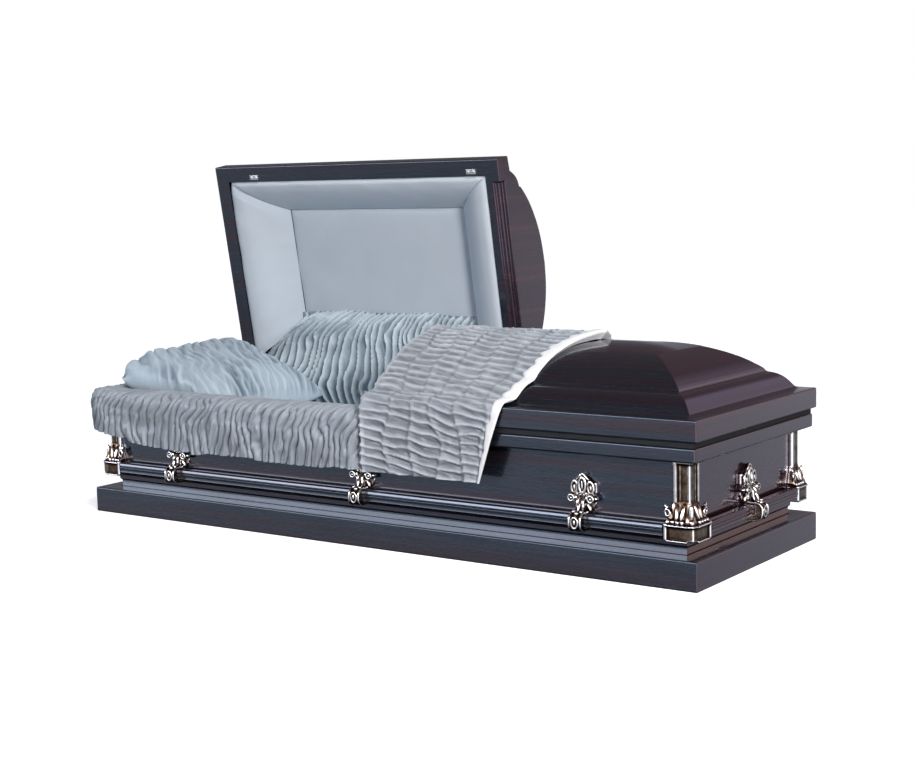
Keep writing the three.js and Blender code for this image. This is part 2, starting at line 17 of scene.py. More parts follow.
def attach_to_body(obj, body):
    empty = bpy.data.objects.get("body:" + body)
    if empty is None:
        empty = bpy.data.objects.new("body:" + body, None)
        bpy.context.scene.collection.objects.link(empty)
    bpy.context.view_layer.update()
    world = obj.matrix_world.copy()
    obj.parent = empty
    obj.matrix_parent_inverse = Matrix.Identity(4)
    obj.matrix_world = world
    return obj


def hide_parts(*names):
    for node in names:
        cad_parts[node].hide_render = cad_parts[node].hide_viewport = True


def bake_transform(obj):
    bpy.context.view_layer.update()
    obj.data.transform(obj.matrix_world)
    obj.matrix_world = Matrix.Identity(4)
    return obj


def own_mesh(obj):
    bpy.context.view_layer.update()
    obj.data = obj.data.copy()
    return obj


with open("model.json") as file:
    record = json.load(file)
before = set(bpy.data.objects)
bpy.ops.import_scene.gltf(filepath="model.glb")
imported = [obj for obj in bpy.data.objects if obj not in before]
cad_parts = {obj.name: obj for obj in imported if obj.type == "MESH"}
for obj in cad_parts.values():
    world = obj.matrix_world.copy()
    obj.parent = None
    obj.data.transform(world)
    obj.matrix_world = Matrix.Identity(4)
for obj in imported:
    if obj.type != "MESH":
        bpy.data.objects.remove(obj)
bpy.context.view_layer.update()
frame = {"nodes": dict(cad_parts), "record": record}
MM = 0.001

# %% [markdown]
# ## Camera
# The photograph was taken with a mild telephoto from the foot end, a little above the lid.
# A camera is placed by three unit vectors (right, up, forward), which are the columns of its matrix.
# Euler angles would do too, but the vectors come straight from matching the photograph's vanishing lines.

# %% Place the camera
RIGHT, UP, FORWARD = (0.81437, 0.57988, -0.02313), (-0.04887, 0.10824, 0.99292), (-0.57828, 0.80748, -0.11648)


def new_object(name, data):
    """An object that holds the data, linked to the scene."""
    obj = bpy.data.objects.new(name, data)
    bpy.context.scene.collection.objects.link(obj)
    return obj


camera = new_object("camera", bpy.data.cameras.new("camera"))
camera.data.lens = 65.57
camera.data.shift_y = -0.0051
columns = Matrix((RIGHT, UP, [-c for c in FORWARD])).transposed()
camera.matrix_world = Matrix.Translation((2.88471, -3.88999, 1.00544)) @ columns.to_4x4()
bpy.context.scene.camera = camera
bpy.context.scene.view_settings.view_transform = "Standard"
print("camera", tuple(round(c, 3) for c in camera.location))

# %% [markdown]
# ## Helpers
# A few small tools keep every later cell short: one turns a web colour into the linear values that
# shaders need, one adds a node with its settings and links, and one turns a bmesh into an object.

# %% Colours, nodes and objects
# Settings of nodes that come back often.
SOFT_STEP = {"interpolation_type": "SMOOTHSTEP"}
OF_COLOURS = {"data_type": "RGBA"}
TIMES, TIMES_PLUS = {"operation": "MULTIPLY"}, {"operation": "MULTIPLY_ADD"}


def linear(hex_code):
    """An sRGB colour such as "a5b0bb" as linear values for a shader."""
    values = [int(hex_code[k:k + 2], 16) / 255 for k in (0, 2, 4)]
    return [v / 12.92 if v <= 0.04045 else ((v + 0.055) / 1.055) ** 2.4 for v in values] + [1.0]


def add_node(tree, kind, settings=None, **inputs):
    """Adds a node with its settings. Inputs are values or sockets, by name or, as _0, by number."""
    node = tree.nodes.new(kind)
    for key, value in (settings or {}).items():
        setattr(node, key, value)
    for key, value in inputs.items():
        socket = node.inputs[int(key[1:]) if key.startswith("_") else key.replace("_", " ")]
        if isinstance(value, bpy.types.NodeSocket):
            tree.links.new(value, socket)
        else:
            socket.default_value = value
    return node


def set_stops(ramp, *stops):
    """Gives a colour ramp its stops, pairs of place and colour; the first two are the ones it starts with."""
    elements = ramp.color_ramp.elements
    for element, (place, _) in zip(list(elements), stops[:2]):
        element.position = place
    for place, _ in stops[2:]:
        elements.new(place)
    for element, (_, colour) in zip(elements, sorted(stops)):
        element.color = linear(colour)


def new_material(name):
    """A material with an empty node tree: the material and the tree."""
    material = bpy.data.materials.new(name)
    material.use_nodes = True
    material.node_tree.nodes.clear()
    return material, material.node_tree


def as_object(bm, name, materials, sharp=35):
    """Turns a bmesh into a smooth object, faces pointing out; edges above this angle (degrees) stay sharp."""
    if bm.calc_volume(signed=True) < 0:
        bmesh.ops.reverse_faces(bm, faces=bm.faces[:])
    mesh = bpy.data.meshes.new(name)
    bm.to_mesh(mesh)
    bm.free()
    mesh.shade_smooth()
    mesh.set_sharp_from_angle(angle=math.radians(sharp))
    for material in materials:
        mesh.materials.append(material)
    return new_object(name, mesh)


# %% [markdown]
# ## Floor and studio light
# A product shot like this stands on white paper that runs out of sight. One large plane is enough,
# lit from behind like a light table, so that it is as bright as the background. It throws no light
# back on the casket: then the valleys of the cloth stay dark. The key light comes from the right, low,
# and rakes over the folds. The lacquer mirrors the world: a dim room with a few bright panels of wall.

# %% Floor
paper, tree = new_material("seamless_paper")
place = add_node(tree, "ShaderNodeTexCoord").outputs["Object"]
grain = add_node(tree, "ShaderNodeTexNoise", Vector=place, Scale=60.0)
bump = add_node(tree, "ShaderNodeBump", Strength=0.03, Height=grain.outputs["Fac"])
shader = add_node(tree, "ShaderNodeBsdfPrincipled", Base_Color=linear("f8f8f9"), Roughness=0.9,
                  Emission_Color=linear("ffffff"), Emission_Strength=0.46, Normal=bump.outputs["Normal"])
add_node(tree, "ShaderNodeOutputMaterial", Surface=shader.outputs["BSDF"])
bm = bmesh.new()
bmesh.ops.create_grid(bm, x_segments=1, y_segments=1, size=40)
floor = as_object(bm, "floor", [paper])
floor.visible_diffuse = floor.visible_glossy = False
print("floor", tuple(floor.dimensions))

# %% Tools for painting the world
world = bpy.data.worlds.new("studio")
bpy.context.scene.world = world
world.use_nodes = True
tree = world.node_tree
tree.nodes.clear()
direction = add_node(tree, "ShaderNodeTexCoord").outputs["Generated"]
parts = add_node(tree, "ShaderNodeSeparateXYZ", Vector=direction)
to_foot, to_back, height = (parts.outputs[axis] for axis in "XYZ")


def between(value, low, high, start=0.0, end=1.0):
    """A soft step from start to end as the value goes from low to high."""
    return add_node(tree, "ShaderNodeMapRange", SOFT_STEP, Value=value, From_Min=low, From_Max=high,
                    To_Min=start, To_Max=end).outputs[0]


def product(*values):
    """The product of several sockets."""
    total = values[0]
    for value in values[1:]:
        total = add_node(tree, "ShaderNodeMath", TIMES, _0=total, _1=value).outputs[0]
    return total


def towards(axis, outer, inner, strength):
    """A round soft panel seen in one direction; outer and inner are cosines."""
    facing = add_node(tree, "ShaderNodeVectorMath", {"operation": "DOT_PRODUCT"}, _0=direction,
                      _1=Vector(axis).normalized())
    return between(facing.outputs["Value"], outer, inner, 0, strength)


def plus_light(base, amount, colour):
    """The base colour with an amount of coloured light added."""
    light = add_node(tree, "ShaderNodeVectorMath", {"operation": "SCALE"}, _0=linear(colour)[:3],
                     Scale=amount)
    mixed = add_node(tree, "ShaderNodeMix", {"data_type": "RGBA", "blend_type": "ADD"}, _0=1.0, _6=base,
                     _7=light.outputs[0])
    return mixed.outputs[2]


# %% Walls and panels that the lacquer mirrors
from_floor = add_node(tree, "ShaderNodeMapRange", Value=height, From_Min=-1.0).outputs[0]
walls = add_node(tree, "ShaderNodeValToRGB", Fac=from_floor)
set_stops(walls, (0.0, "08080a"), (1.0, "5e5359"), (0.2, "24262b"), (0.3, "6c717b"), (0.42, "b4bcc8"),
          (0.48, "cdd3dc"), (0.54, "84858e"), (0.62, "5b545b"), (0.74, "5c5056"))
# A bright strip low in front, a dim warm one at the foot, a pale corner, and a panel for the shoulder.
low_wall = between(height, 0.13, 0.19)
front_strip = product(low_wall, between(height, 0.32, 0.46, 1, 0), between(to_back, -0.6, -0.35, 8.0, 0))
foot_strip = product(low_wall, between(height, 0.3, 0.42, 1, 0), between(to_foot, 0.25, 0.42, 0, 1.2))
corner_wall = product(between(height, -0.5, -0.25), between(height, 0.25, 0.5, 1, 0),
                      towards((0.82, -0.58, 0), 0.6, 0.85, 1.1))
shoulder_panel = towards((0.24, 0.83, 0.51), 0.95, 0.995, 0.5)
studio = walls.outputs["Color"]
for amount, colour in ((front_strip, "eaf2ff"), (foot_strip, "ffe4d8"), (corner_wall, "eef0fa"),
                       (shoulder_panel, "d9d4f4")):
    studio = plus_light(studio, amount, colour)
print("stops along the walls", len(walls.color_ramp.elements))

# %% World: one light for cloth, one for what metal mirrors, and a white backdrop for the camera
ambient, mirrored, backdrop = (
    add_node(tree, "ShaderNodeBackground", Color=colour, Strength=strength).outputs[0]
    for colour, strength in ((linear("f1f5ff"), between(height, -0.3, 0.4, 0.3, 0.22)), (studio, 1.0),
                             (linear("ffffff"), 1.0)))
path = add_node(tree, "ShaderNodeLightPath")
lit = add_node(tree, "ShaderNodeMixShader", _0=path.outputs["Is Glossy Ray"], _1=ambient, _2=mirrored)
seen = add_node(tree, "ShaderNodeMixShader", _0=path.outputs["Is Camera Ray"], _1=lit.outputs[0], _2=backdrop)
add_node(tree, "ShaderNodeOutputWorld", Surface=seen.outputs[0])
print("world nodes", len(tree.nodes))

# %% Lights


def lamp(name, kind, power, colour, place, aim):
    """A light that faces a point. Metal doesn't mirror it, because the painted studio does that work."""
    light = new_object(name, bpy.data.lights.new(name, kind))
    light.data.energy, light.data.color = power, linear(colour)[:3]
    light.location = place
    light.rotation_euler = (Vector(aim) - Vector(place)).to_track_quat("-Z", "Y").to_euler()
    light.visible_glossy = False
    return light.data


ceiling = lamp("ceiling", "SUN", 1.5, "ffffff", (0.42, -0.3, 1), (0, 0, 0))
ceiling.angle = math.radians(25)
for name, power, colour, place, aim, size in (
        ("key", 265, "fffaf5", (4.2, -3.2, 2.1), (-0.3, 0, 0.5), (0.9, 1.1)),
        ("left", 17, "dfeaff", (-3.4, -3.4, 1.9), (-0.2, 0, 0.4), (1.6, 1.2))):
    softbox = lamp(name, "AREA", power, colour, place, aim)
    softbox.shape = "RECTANGLE"
    softbox.size, softbox.size_y = size

# %% [markdown]
# ## Painted steel
# The shell of the casket is 16-gauge sheet steel, brushed with an abrasive belt, then sprayed with
# dark tinted lacquer and clear coat. The eye sees two layers: a metallic base with fine parallel
# scratches, and over it a sharp mirror. The scratches follow each panel, so the long sides and the
# ends get their own material. The two are also tinted apart, slate blue on the sides and purple on
# the ends, as painted reflection of a cool front and a warm foot end. Real belt lines are 0.1 mm
# apart, too fine to show in the picture: they are drawn about 3 mm apart, with finer ones between them.

# %% Brushed lacquered steel
ALONG, ACROSS = 3, 330      # swells of the brush noise per metre, along the lines and across them
STREAK_WIDTH = 11           # a broad streak is this much wider than a brushed line


def brushed_steel(name, stretch, tint, deep, warm):
    """Tinted lacquer over belt-brushed steel; stretch is the swells per metre along X, Y and Z."""
    material, tree = new_material(name)
    place = add_node(tree, "ShaderNodeTexCoord").outputs["Object"]
    lines = add_node(tree, "ShaderNodeMapping", Vector=place, Scale=stretch).outputs["Vector"]
    brush = add_node(tree, "ShaderNodeTexNoise", Vector=lines, Scale=1.0, Detail=3.0, Roughness=0.65)
    cloud = add_node(tree, "ShaderNodeTexNoise", Vector=place, Scale=2.5, Detail=2.0)
    grain = add_node(tree, "ShaderNodeMath", TIMES_PLUS, _0=brush.outputs["Fac"], _1=0.9, _2=-0.2)
    shade = add_node(tree, "ShaderNodeMath", TIMES_PLUS, _0=cloud.outputs["Fac"], _1=0.45,
                     _2=grain.outputs[0])
    lacquer = add_node(tree, "ShaderNodeMix", OF_COLOURS, _0=shade.outputs[0], _6=linear(deep),
                       _7=linear(tint))
    broad = add_node(tree, "ShaderNodeMapping", Vector=place, Scale=[s / STREAK_WIDTH for s in stretch])
    streak = add_node(tree, "ShaderNodeTexNoise", Vector=broad.outputs["Vector"], Scale=1.0, Detail=2.0)
    warmth = add_node(tree, "ShaderNodeMapRange", Value=streak.outputs["Fac"], From_Min=0.5, From_Max=0.68,
                      To_Max=0.75)
    colour = add_node(tree, "ShaderNodeMix", OF_COLOURS, _0=warmth.outputs[0], _6=lacquer.outputs[2],
                      _7=linear(warm))
    rough = add_node(tree, "ShaderNodeMapRange", Value=brush.outputs["Fac"], To_Min=0.2, To_Max=0.36)
    bump = add_node(tree, "ShaderNodeBump", Strength=0.05, Distance=0.0006, Height=brush.outputs["Fac"])
    shader = add_node(tree, "ShaderNodeBsdfPrincipled", Base_Color=colour.outputs[2], Metallic=0.85,
                      Roughness=rough.outputs[0], Normal=bump.outputs[0], Coat_Weight=1.0,
                      Coat_Roughness=0.04)
    add_node(tree, "ShaderNodeOutputMaterial", Surface=shader.outputs[0])
    return material


# Both copies are one lacquer: the slate blue of the long sides and the purple of the ends are painted
# reflection of a cool front and a warm foot end.
steel_long_reflection_tint = brushed_steel("lacquered_steel_brushed_lengthwise_reflection_tinted", (ALONG, ACROSS, ACROSS),
                           "4c5564", "20232b", "4a333a")
steel_cross_reflection_tint = brushed_steel("lacquered_steel_brushed_crosswise_reflection_tinted", (ACROSS, ALONG, ACROSS),
                            "563a4b", "2e1d28", "5c3a40")
print("steels", steel_long_reflection_tint.name, steel_cross_reflection_tint.name)

# %% [markdown]
# ## Cast hardware
# Ears, arms, corner fittings, hinges and catches are zinc castings with a bright nickel plating.
# In the recesses a brown antique wash stays behind, on the crests it is wiped off. The colour also
# paints light: near black in the recesses as painted shade, near white on the crests as painted
# highlight.

# %% Plated castings
plated, tree = new_material("nickel_plated_zinc_casting")
place = add_node(tree, "ShaderNodeTexCoord").outputs["Object"]
# The crest value sets a brown antique wash in the recesses and also painted light: painted shade, near black,
# in the recesses and painted highlight, near white, on the crests.
crest = add_node(tree, "ShaderNodeAttribute", {"attribute_name": "crest"}).outputs["Fac"]
cloud = add_node(tree, "ShaderNodeTexNoise", Vector=place, Scale=60.0, Detail=3.0)
uneven = add_node(tree, "ShaderNodeMath", TIMES_PLUS, _0=cloud.outputs["Fac"], _1=0.24, _2=-0.12)
wash_and_shade_amount = add_node(tree, "ShaderNodeMath", {"operation": "ADD"}, _0=crest, _1=uneven.outputs[0]).outputs[0]
wash_and_shade_ramp = add_node(tree, "ShaderNodeValToRGB", Fac=wash_and_shade_amount)
set_stops(wash_and_shade_ramp, (0.2, "1d120d"), (0.72, "f6f2ee"), (0.45, "4b382b"), (0.56, "8d7866"))
pits = add_node(tree, "ShaderNodeTexNoise", Vector=place, Scale=900.0)
bump = add_node(tree, "ShaderNodeBump", Strength=0.06, Distance=0.0005, Height=pits.outputs["Fac"])
rough = add_node(tree, "ShaderNodeMapRange", Value=wash_and_shade_amount, To_Min=0.34, To_Max=0.1)
shader = add_node(tree, "ShaderNodeBsdfPrincipled", Base_Color=wash_and_shade_ramp.outputs[0], Metallic=1.0,
                  Roughness=rough.outputs[0], Normal=bump.outputs[0])
add_node(tree, "ShaderNodeOutputMaterial", Surface=shader.outputs[0])
print("wash stops", [round(stop.position, 2) for stop in wash_and_shade_ramp.color_ramp.elements])

# %% [markdown]
# ## Rubber
# The seal between the body and the lids is extruded black rubber: matt, with a faint bloom. Its CAD
# mesh has the right shape already, so the seal only gets its finish.

# %% Rubber gasket
rubber, tree = new_material("extruded_rubber")
place = add_node(tree, "ShaderNodeTexCoord").outputs["Object"]
bloom = add_node(tree, "ShaderNodeTexNoise", Vector=place, Scale=40.0, Detail=4.0)
colour = add_node(tree, "ShaderNodeMix", OF_COLOURS, _0=bloom.outputs["Fac"], _6=linear("060607"),
                  _7=linear("121214"))
shader = add_node(tree, "ShaderNodeBsdfPrincipled", Base_Color=colour.outputs[2], Roughness=0.75)
add_node(tree, "ShaderNodeOutputMaterial", Surface=shader.outputs[0])
seal = frame["nodes"]["rim_gasket"].data
seal.materials.clear()
seal.materials.append(rubber)
print("seal", len(seal.polygons), "faces")

# %% [markdown]
# ## Cloth
# The lining is a polyester crepe: a matt, slightly pebbly weave that gathers into soft folds and
# looks brighter at grazing angles, which is what sheen is for. The weave follows the cloth's own UV
# map, laid out in metres. Threads are 0.3 mm apart; they are drawn 1.2 mm apart, so that some of
# the texture shows.

# %% Crepe
PEBBLES = 830.0             # per metre: one every 1.2 mm
SLUBS = (150, 700, 1)       # thick places in the thread, per metre along it and across it


def crepe(name, light, dark, roughness, sheen, painted_shade="46525f"):
    """Woven crepe, a little uneven in its dye, with a pebbled weave, and painted shade of the last colour in
    its fold valleys.
    """
    material, tree = new_material(name)
    weave_at = add_node(tree, "ShaderNodeUVMap", {"uv_map": "cloth"}).outputs["UV"]
    slub_at = add_node(tree, "ShaderNodeMapping", Vector=weave_at, Scale=SLUBS).outputs[0]
    dye = add_node(tree, "ShaderNodeTexNoise", Vector=weave_at, Scale=9.0, Detail=3.0)
    slub = add_node(tree, "ShaderNodeTexNoise", Vector=slub_at, Scale=1.0, Detail=2.0)
    dyed = add_node(tree, "ShaderNodeMath", TIMES, _0=dye.outputs["Fac"], _1=0.5)
    shade = add_node(tree, "ShaderNodeMath", TIMES_PLUS, _0=slub.outputs["Fac"], _1=0.5, _2=dyed.outputs[0])
    thread = add_node(tree, "ShaderNodeMix", OF_COLOURS, _0=shade.outputs[0], _6=linear(dark),
                      _7=linear(light))
    # Painted shade: each point's stored amount darkens the cloth towards the last colour, in the fold
    # valleys.
    valley = add_node(tree, "ShaderNodeAttribute", {"attribute_name": "valley"}).outputs["Fac"]
    colour = add_node(tree, "ShaderNodeMix", OF_COLOURS, _0=valley, _6=thread.outputs[2], _7=linear(painted_shade))
    pebble = add_node(tree, "ShaderNodeTexVoronoi", Vector=weave_at, Scale=PEBBLES)
    bump = add_node(tree, "ShaderNodeBump", Strength=0.25, Distance=0.0004, Height=pebble.outputs["Distance"])
    shader = add_node(tree, "ShaderNodeBsdfPrincipled", Base_Color=colour.outputs[2], Roughness=roughness,
                      Normal=bump.outputs[0], Sheen_Weight=sheen, Sheen_Roughness=0.35,
                      Sheen_Tint=linear("dfe8f2"))
    add_node(tree, "ShaderNodeOutputMaterial", Surface=shader.outputs[0])
    return material


# The last colour of each crepe is its painted shade in the fold valleys.
lining_crepe = crepe("blue_polyester_crepe", "c3d0da", "9dadbb", 0.42, 0.15, "33495a")
# The apron's crepe is the lining's crepe painted darker: painted shade.
apron_crepe_painted_darker = crepe("blue_polyester_crepe_painted_darker", "a9b0b9", "868e98", 0.42, 0.15, "38424d")
# The puff's crepe is the lining's crepe painted lighter: painted light.
puff_crepe_painted_lighter = crepe("blue_polyester_crepe_painted_lighter", "d9e6ee", "b5c4d0", 0.42, 0.2, "2f4350")
lid_crepe = crepe("pale_blue_polyester_crepe", "ccd5de", "b6c1cc", 0.5, 0.25)
throw_crepe = crepe("silver_polyester_crepe", "ced4dc", "a8afb8", 0.36, 0.15, "464c55")
hem_satin = crepe("white_satin_binding", "f2f3f5", "dcdee3", 0.35, 0.3)
print("materials", [m.name for m in bpy.data.materials])

# %% [markdown]
# ## Smooth values and section curves
# Two more helpers serve metal and cloth alike: smooth random values, for everything that wanders a
# little, and smooth curves through a few measured points of a section.

# %% Smooth random values and section curves
LENGTH, WIDTH = 2108.0, 711.0
HALF_L, HALF_W = LENGTH / 2, WIDTH / 2
LID_BOTTOM, SPLIT = 367.2, 94.0      # height of the lids' rims, and x where head and foot lid meet
OPEN = math.radians(80.4)            # how far the head lid stands open


def drift(a, b, seed):
    """Smooth random values from -1 to 1, about one swell per unit of a and b."""
    size = 61
    table = np.random.default_rng(seed).uniform(-1, 1, (size, size))
    ia, ib = np.floor(a).astype(int), np.floor(b).astype(int)
    fa, fb = a - ia, b - ib
    fa, fb = fa * fa * (3 - 2 * fa), fb * fb * (3 - 2 * fb)
    low = table[ia % size, ib % size] * (1 - fa) + table[(ia + 1) % size, ib % size] * fa
    high = table[ia % size, (ib + 1) % size] * (1 - fa) + table[(ia + 1) % size, (ib + 1) % size] * fa
    return low * (1 - fb) + high * fb


def section(points, share):
    """A smooth curve through 2-D points, read at shares of its length: points, left normals and lengths."""
    p = np.array([[2 * a - b for a, b in zip(points[0], points[1])], *points,
                  [2 * a - b for a, b in zip(points[-1], points[-2])]], float)
    t = np.linspace(0, 1, 24, endpoint=False)[:, None]
    dense = np.vstack([0.5 * (2 * p[k] + (p[k + 1] - p[k - 1]) * t
                              + (2 * p[k - 1] - 5 * p[k] + 4 * p[k + 1] - p[k + 2]) * t ** 2
                              + (3 * p[k] - p[k - 1] - 3 * p[k + 1] + p[k + 2]) * t ** 3)
                       for k in range(1, len(p) - 2)] + [p[-2][None]])
    lengths = np.concatenate([[0], np.cumsum(np.hypot(*np.diff(dense, axis=0).T))])
    at = np.clip(share, 0, 1) * lengths[-1]
    found, behind, beyond = (np.stack([np.interp(at + shift, lengths, dense[:, k]) for k in (0, 1)], -1)
                             for shift in (0, -1.5, 1.5))
    ahead = beyond - behind
    ahead /= np.maximum(np.linalg.norm(ahead, axis=-1, keepdims=True), 1e-9)
    return found, np.stack([-ahead[..., 1], ahead[..., 0]], -1), at


# %% [markdown]
# ## The sheet-metal shells
# The base moulding, the body and the lids are rolled or pressed sections that run round the casket
# and meet in mitres, so each is one chain of edges, extruded from corner to corner. A chain point is
# [distance in from the casket's outline, height]. The folds of real sheet have a radius of about 3 mm;
# here they have 2.4 to 7 mm, as the photograph shows them. It matters: the thin light line along
# every edge there is that radius catching a lamp.

# %% Sweep and round


def extruded_rows(rows, closed=False):
    """Extrudes a chain of edges from row to row of points (mm): the mesh, its first and its last edges."""
    bm = bmesh.new()
    index = bm.verts.layers.int.new("row_index")
    row = []
    for k, point in enumerate(rows[0]):
        row.append(bm.verts.new(point))
        row[-1][index] = k
    first = edges = [bm.edges.new(pair) for pair in zip(row, row[1:] + row[:1] * closed)]
    for points in rows[1:]:
        before = set(bm.verts)
        bmesh.ops.extrude_edge_only(bm, edges=edges)
        fresh = {vert for vert in bm.verts if vert not in before}
        edges = [edge for edge in bm.edges if edge.verts[0] in fresh and edge.verts[1] in fresh]
        for vert in fresh:
            vert.co = points[vert[index]]
    return bm, first, edges


def swept(chain, stations, closed=False):
    """Sweeps a chain through stations, which are functions that place a chain point (mm)."""
    bm, _, _ = extruded_rows([[station(*point) for point in chain] for station in stations], closed)
    bmesh.ops.remove_doubles(bm, verts=bm.verts[:], dist=0.01)
    return bm


def corner(sx, sy):
    """The mitre at one corner of the casket."""
    return lambda inset, z: Vector((sx * (HALF_L - inset), sy * (HALF_W - inset), z))


def folded_edges(bm, test=lambda a, b: True, limit=22):
    """Edges where two faces meet at more than the limit, in degrees, and whose ends pass the test."""
    return [edge for edge in bm.edges if len(edge.link_faces) == 2 and test(*(v.co for v in edge.verts))
            and edge.calc_face_angle(0) > math.radians(limit)]


def rounded(bm, edges, radius, segments=3):
    """Rounds edges with a bevel."""
    bmesh.ops.bevel(bm, geom=edges, offset=radius, offset_type="OFFSET", affect="EDGES", segments=segments,
                    profile=0.5, material=-1)


# %% Attach and finish


def attach(obj, node, body):
    """Hides the CAD node that a piece replaces and puts the piece on the body it rides on."""
    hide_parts(node)
    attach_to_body(obj, body)


def even_shading(obj):
    """Weights normals by face size, so that a broad face stays flat up to its rounded edge."""
    obj.modifiers.new("even_shading", "WEIGHTED_NORMAL").keep_sharp = True


def finish_metal(bm, name, node, body, wall=0.0):
    """Outward normals, a wall if asked for, lengthwise or crosswise brushing by face, which also picks the
    painted reflection tint of sides or ends, and even shading.
    """
    bmesh.ops.recalc_face_normals(bm, faces=bm.faces[:])
    if wall:
        top = max(bm.faces, key=lambda face: face.calc_center_median().z)
        if top.normal.z < 0:
            bmesh.ops.reverse_faces(bm, faces=bm.faces[:])
        bmesh.ops.solidify(bm, geom=bm.faces[:], thickness=wall)
    for face in bm.faces:
        across = abs(face.normal.x)
        face.material_index = int(across > 0.5 * abs(face.normal.y) and across > 0.12)
    bmesh.ops.scale(bm, vec=(MM, MM, MM), verts=bm.verts[:])
    if body == "head_lid_body":
        turn = Matrix.Rotation(-OPEN, 4, "X")
        hinge = Vector((0, HALF_W * MM, LID_BOTTOM * MM))
        bmesh.ops.rotate(bm, cent=hinge, matrix=turn.to_3x3(), verts=bm.verts[:])
    obj = as_object(bm, name, [steel_long_reflection_tint, steel_cross_reflection_tint], 38)
    even_shading(obj)
    attach(obj, node, body)
    print(name, len(obj.data.polygons), "faces")


# %% Base moulding
ring_of_corners = [corner(-1, -1), corner(1, -1), corner(1, 1), corner(-1, 1), corner(-1, -1)]
bm = swept([(0, 0), (0, 76.5), (57.6, 76.5), (57.6, 0)], ring_of_corners, closed=True)
rounded(bm, folded_edges(bm), 4.2)
finish_metal(bm, "base_moulding_steel", "base_moulding", "casket_body")

# %% Body
SHEET = 1.5      # thickness of the steel
# The outer edges of the top moulding are rolled; the folds of the panels below it are tighter.
bm = swept([(355.5, 0.05), (58, 0.05), (58, 96), (53, 99), (53, 113), (45, 122), (45, 310), (42, 314.5),
            (8, 314.5), (8, 352), (74, 352), (74, 342)], ring_of_corners)
rounded(bm, folded_edges(bm, lambda a, b: min(a.z, b.z) > 313 and max(abs(a.y), abs(b.y)) > 347), 5.5, 4)
rounded(bm, folded_edges(bm, lambda a, b: 50 < max(a.z, b.z) < 313, 30), 2.4)
finish_metal(bm, "body_steel", "body_shell", "casket_body", SHEET)

# %% [markdown]
# ## The lids
# A lid's section rises from the rim over a narrow ledge and a full round shoulder to the crown. Three
# runs of it meet in two mitres, which makes the hipped end. At the split the shell turns into a wall
# over a rolled edge. The head lid's wall is stepped, so that the foot lid can lap under it.

# %% Section of a lid
shoulder_points = [(40, 59), (46, 65.5), (55, 78), (67, 91), (83, 101), (101, 106)]
crown_points = [(105, 115), (120, 126.5), (140, 141), (165, 155.5), (195, 169.5), (227, 181.5),
                (260, 190.5), (300, 197.5), (355.5, 201.6)]
lid_chain = [(0, 0), (0, 55)]
for points, count in ((shoulder_points, 15), (crown_points, 26)):
    lid_chain += [tuple(point) for point in section(points, np.linspace(0, 1, count))[0]]
lid_chain[-1] = crown_points[-1]      # exactly on the middle line, where the two sides meet
print("lid section", len(lid_chain), "points")

# %% The wall at the split
SPLIT_GAP = 0.2                          # from the split to each lid's wall
STEP_NEAR, STEP_FAR = -284.5, 325.5      # y where the stepped part of the head lid's wall ends


def lies_at(item, axis, value):
    """Whether an edge or a face lies wholly in one plane; axis 0 is x and axis 2 is z."""
    return all(abs(vert.co[axis] - value) < 0.01 for vert in item.verts)


def step_back(bm, x, height, depth):
    """Moves the wall at x by a depth along x, below a height and between STEP_NEAR and STEP_FAR."""
    for place, direction in (((0, 0, height), (0, 0, 1)), ((0, STEP_NEAR, 0), (0, 1, 0)),
                             ((0, STEP_FAR, 0), (0, 1, 0))):
        wall = [face for face in bm.faces if lies_at(face, 0, x)]
        ends = {item for face in wall for item in (*face.edges, *face.verts)}
        bmesh.ops.bisect_plane(bm, geom=wall + list(ends), plane_co=place, plane_no=direction, dist=0.001)
    middles = [(face, face.calc_center_median()) for face in bm.faces if lies_at(face, 0, x)]
    low = [face for face, middle in middles if middle.z < height and STEP_NEAR < middle.y < STEP_FAR]
    pushed = bmesh.ops.extrude_face_region(bm, geom=low)["geom"]
    pushed = [item for item in pushed if isinstance(item, bmesh.types.BMVert)]
    bmesh.ops.translate(bm, vec=(depth, 0, 0), verts=pushed)
    bmesh.ops.delete(bm, geom=[face for face in low if face.is_valid], context="FACES_ONLY")
    under = [face for face in bm.faces if lies_at(face, 2, 0)]
    bmesh.ops.delete(bm, geom=under, context="FACES_ONLY")


# %% Lid shells


def at_split(x, sy):
    """Where a long side of the shell ends, square across the casket."""
    return lambda inset, z: Vector((x, sy * (HALF_W - inset), z))


def lid_shell(side, x, steps):
    """Sweeps the section round one end of the casket and closes it at x with a wall, which may be stepped."""
    bm = swept(lid_chain, [at_split(x, -1), corner(side, -1), corner(side, 1), at_split(x, 1)])
    feet = [vert for vert in bm.verts if abs(vert.co.x - x) < 0.01 and vert.co.z < 0.01]
    feet.sort(key=lambda vert: vert.co.y)
    closing = bm.edges.new((feet[0], feet[-1]))
    rim = [edge for edge in bm.edges if edge is not closing and edge.is_boundary and lies_at(edge, 0, x)]
    bmesh.ops.contextual_create(bm, geom=rim + [closing])
    for height, depth in steps:
        step_back(bm, x, height, side * depth)
        x += side * depth
    loose = [edge for edge in bm.edges if not edge.link_faces]
    bmesh.ops.delete(bm, geom=loose, context="EDGES")
    return bm


def lid_underside(bm, x0, x1):
    """Closes the bottom with a flat return round the lining's opening."""
    y = 305.5
    outer = [edge for edge in bm.edges if len(edge.link_faces) == 1 and lies_at(edge, 2, 0)]
    inner = [bm.verts.new(point) for point in ((x0, -y, 0), (x1, -y, 0), (x1, y, 0), (x0, y, 0))]
    hole = [bm.edges.new(pair) for pair in zip(inner, inner[1:] + inner[:1])]
    bmesh.ops.triangle_fill(bm, edges=outer + hole, use_beauty=True)


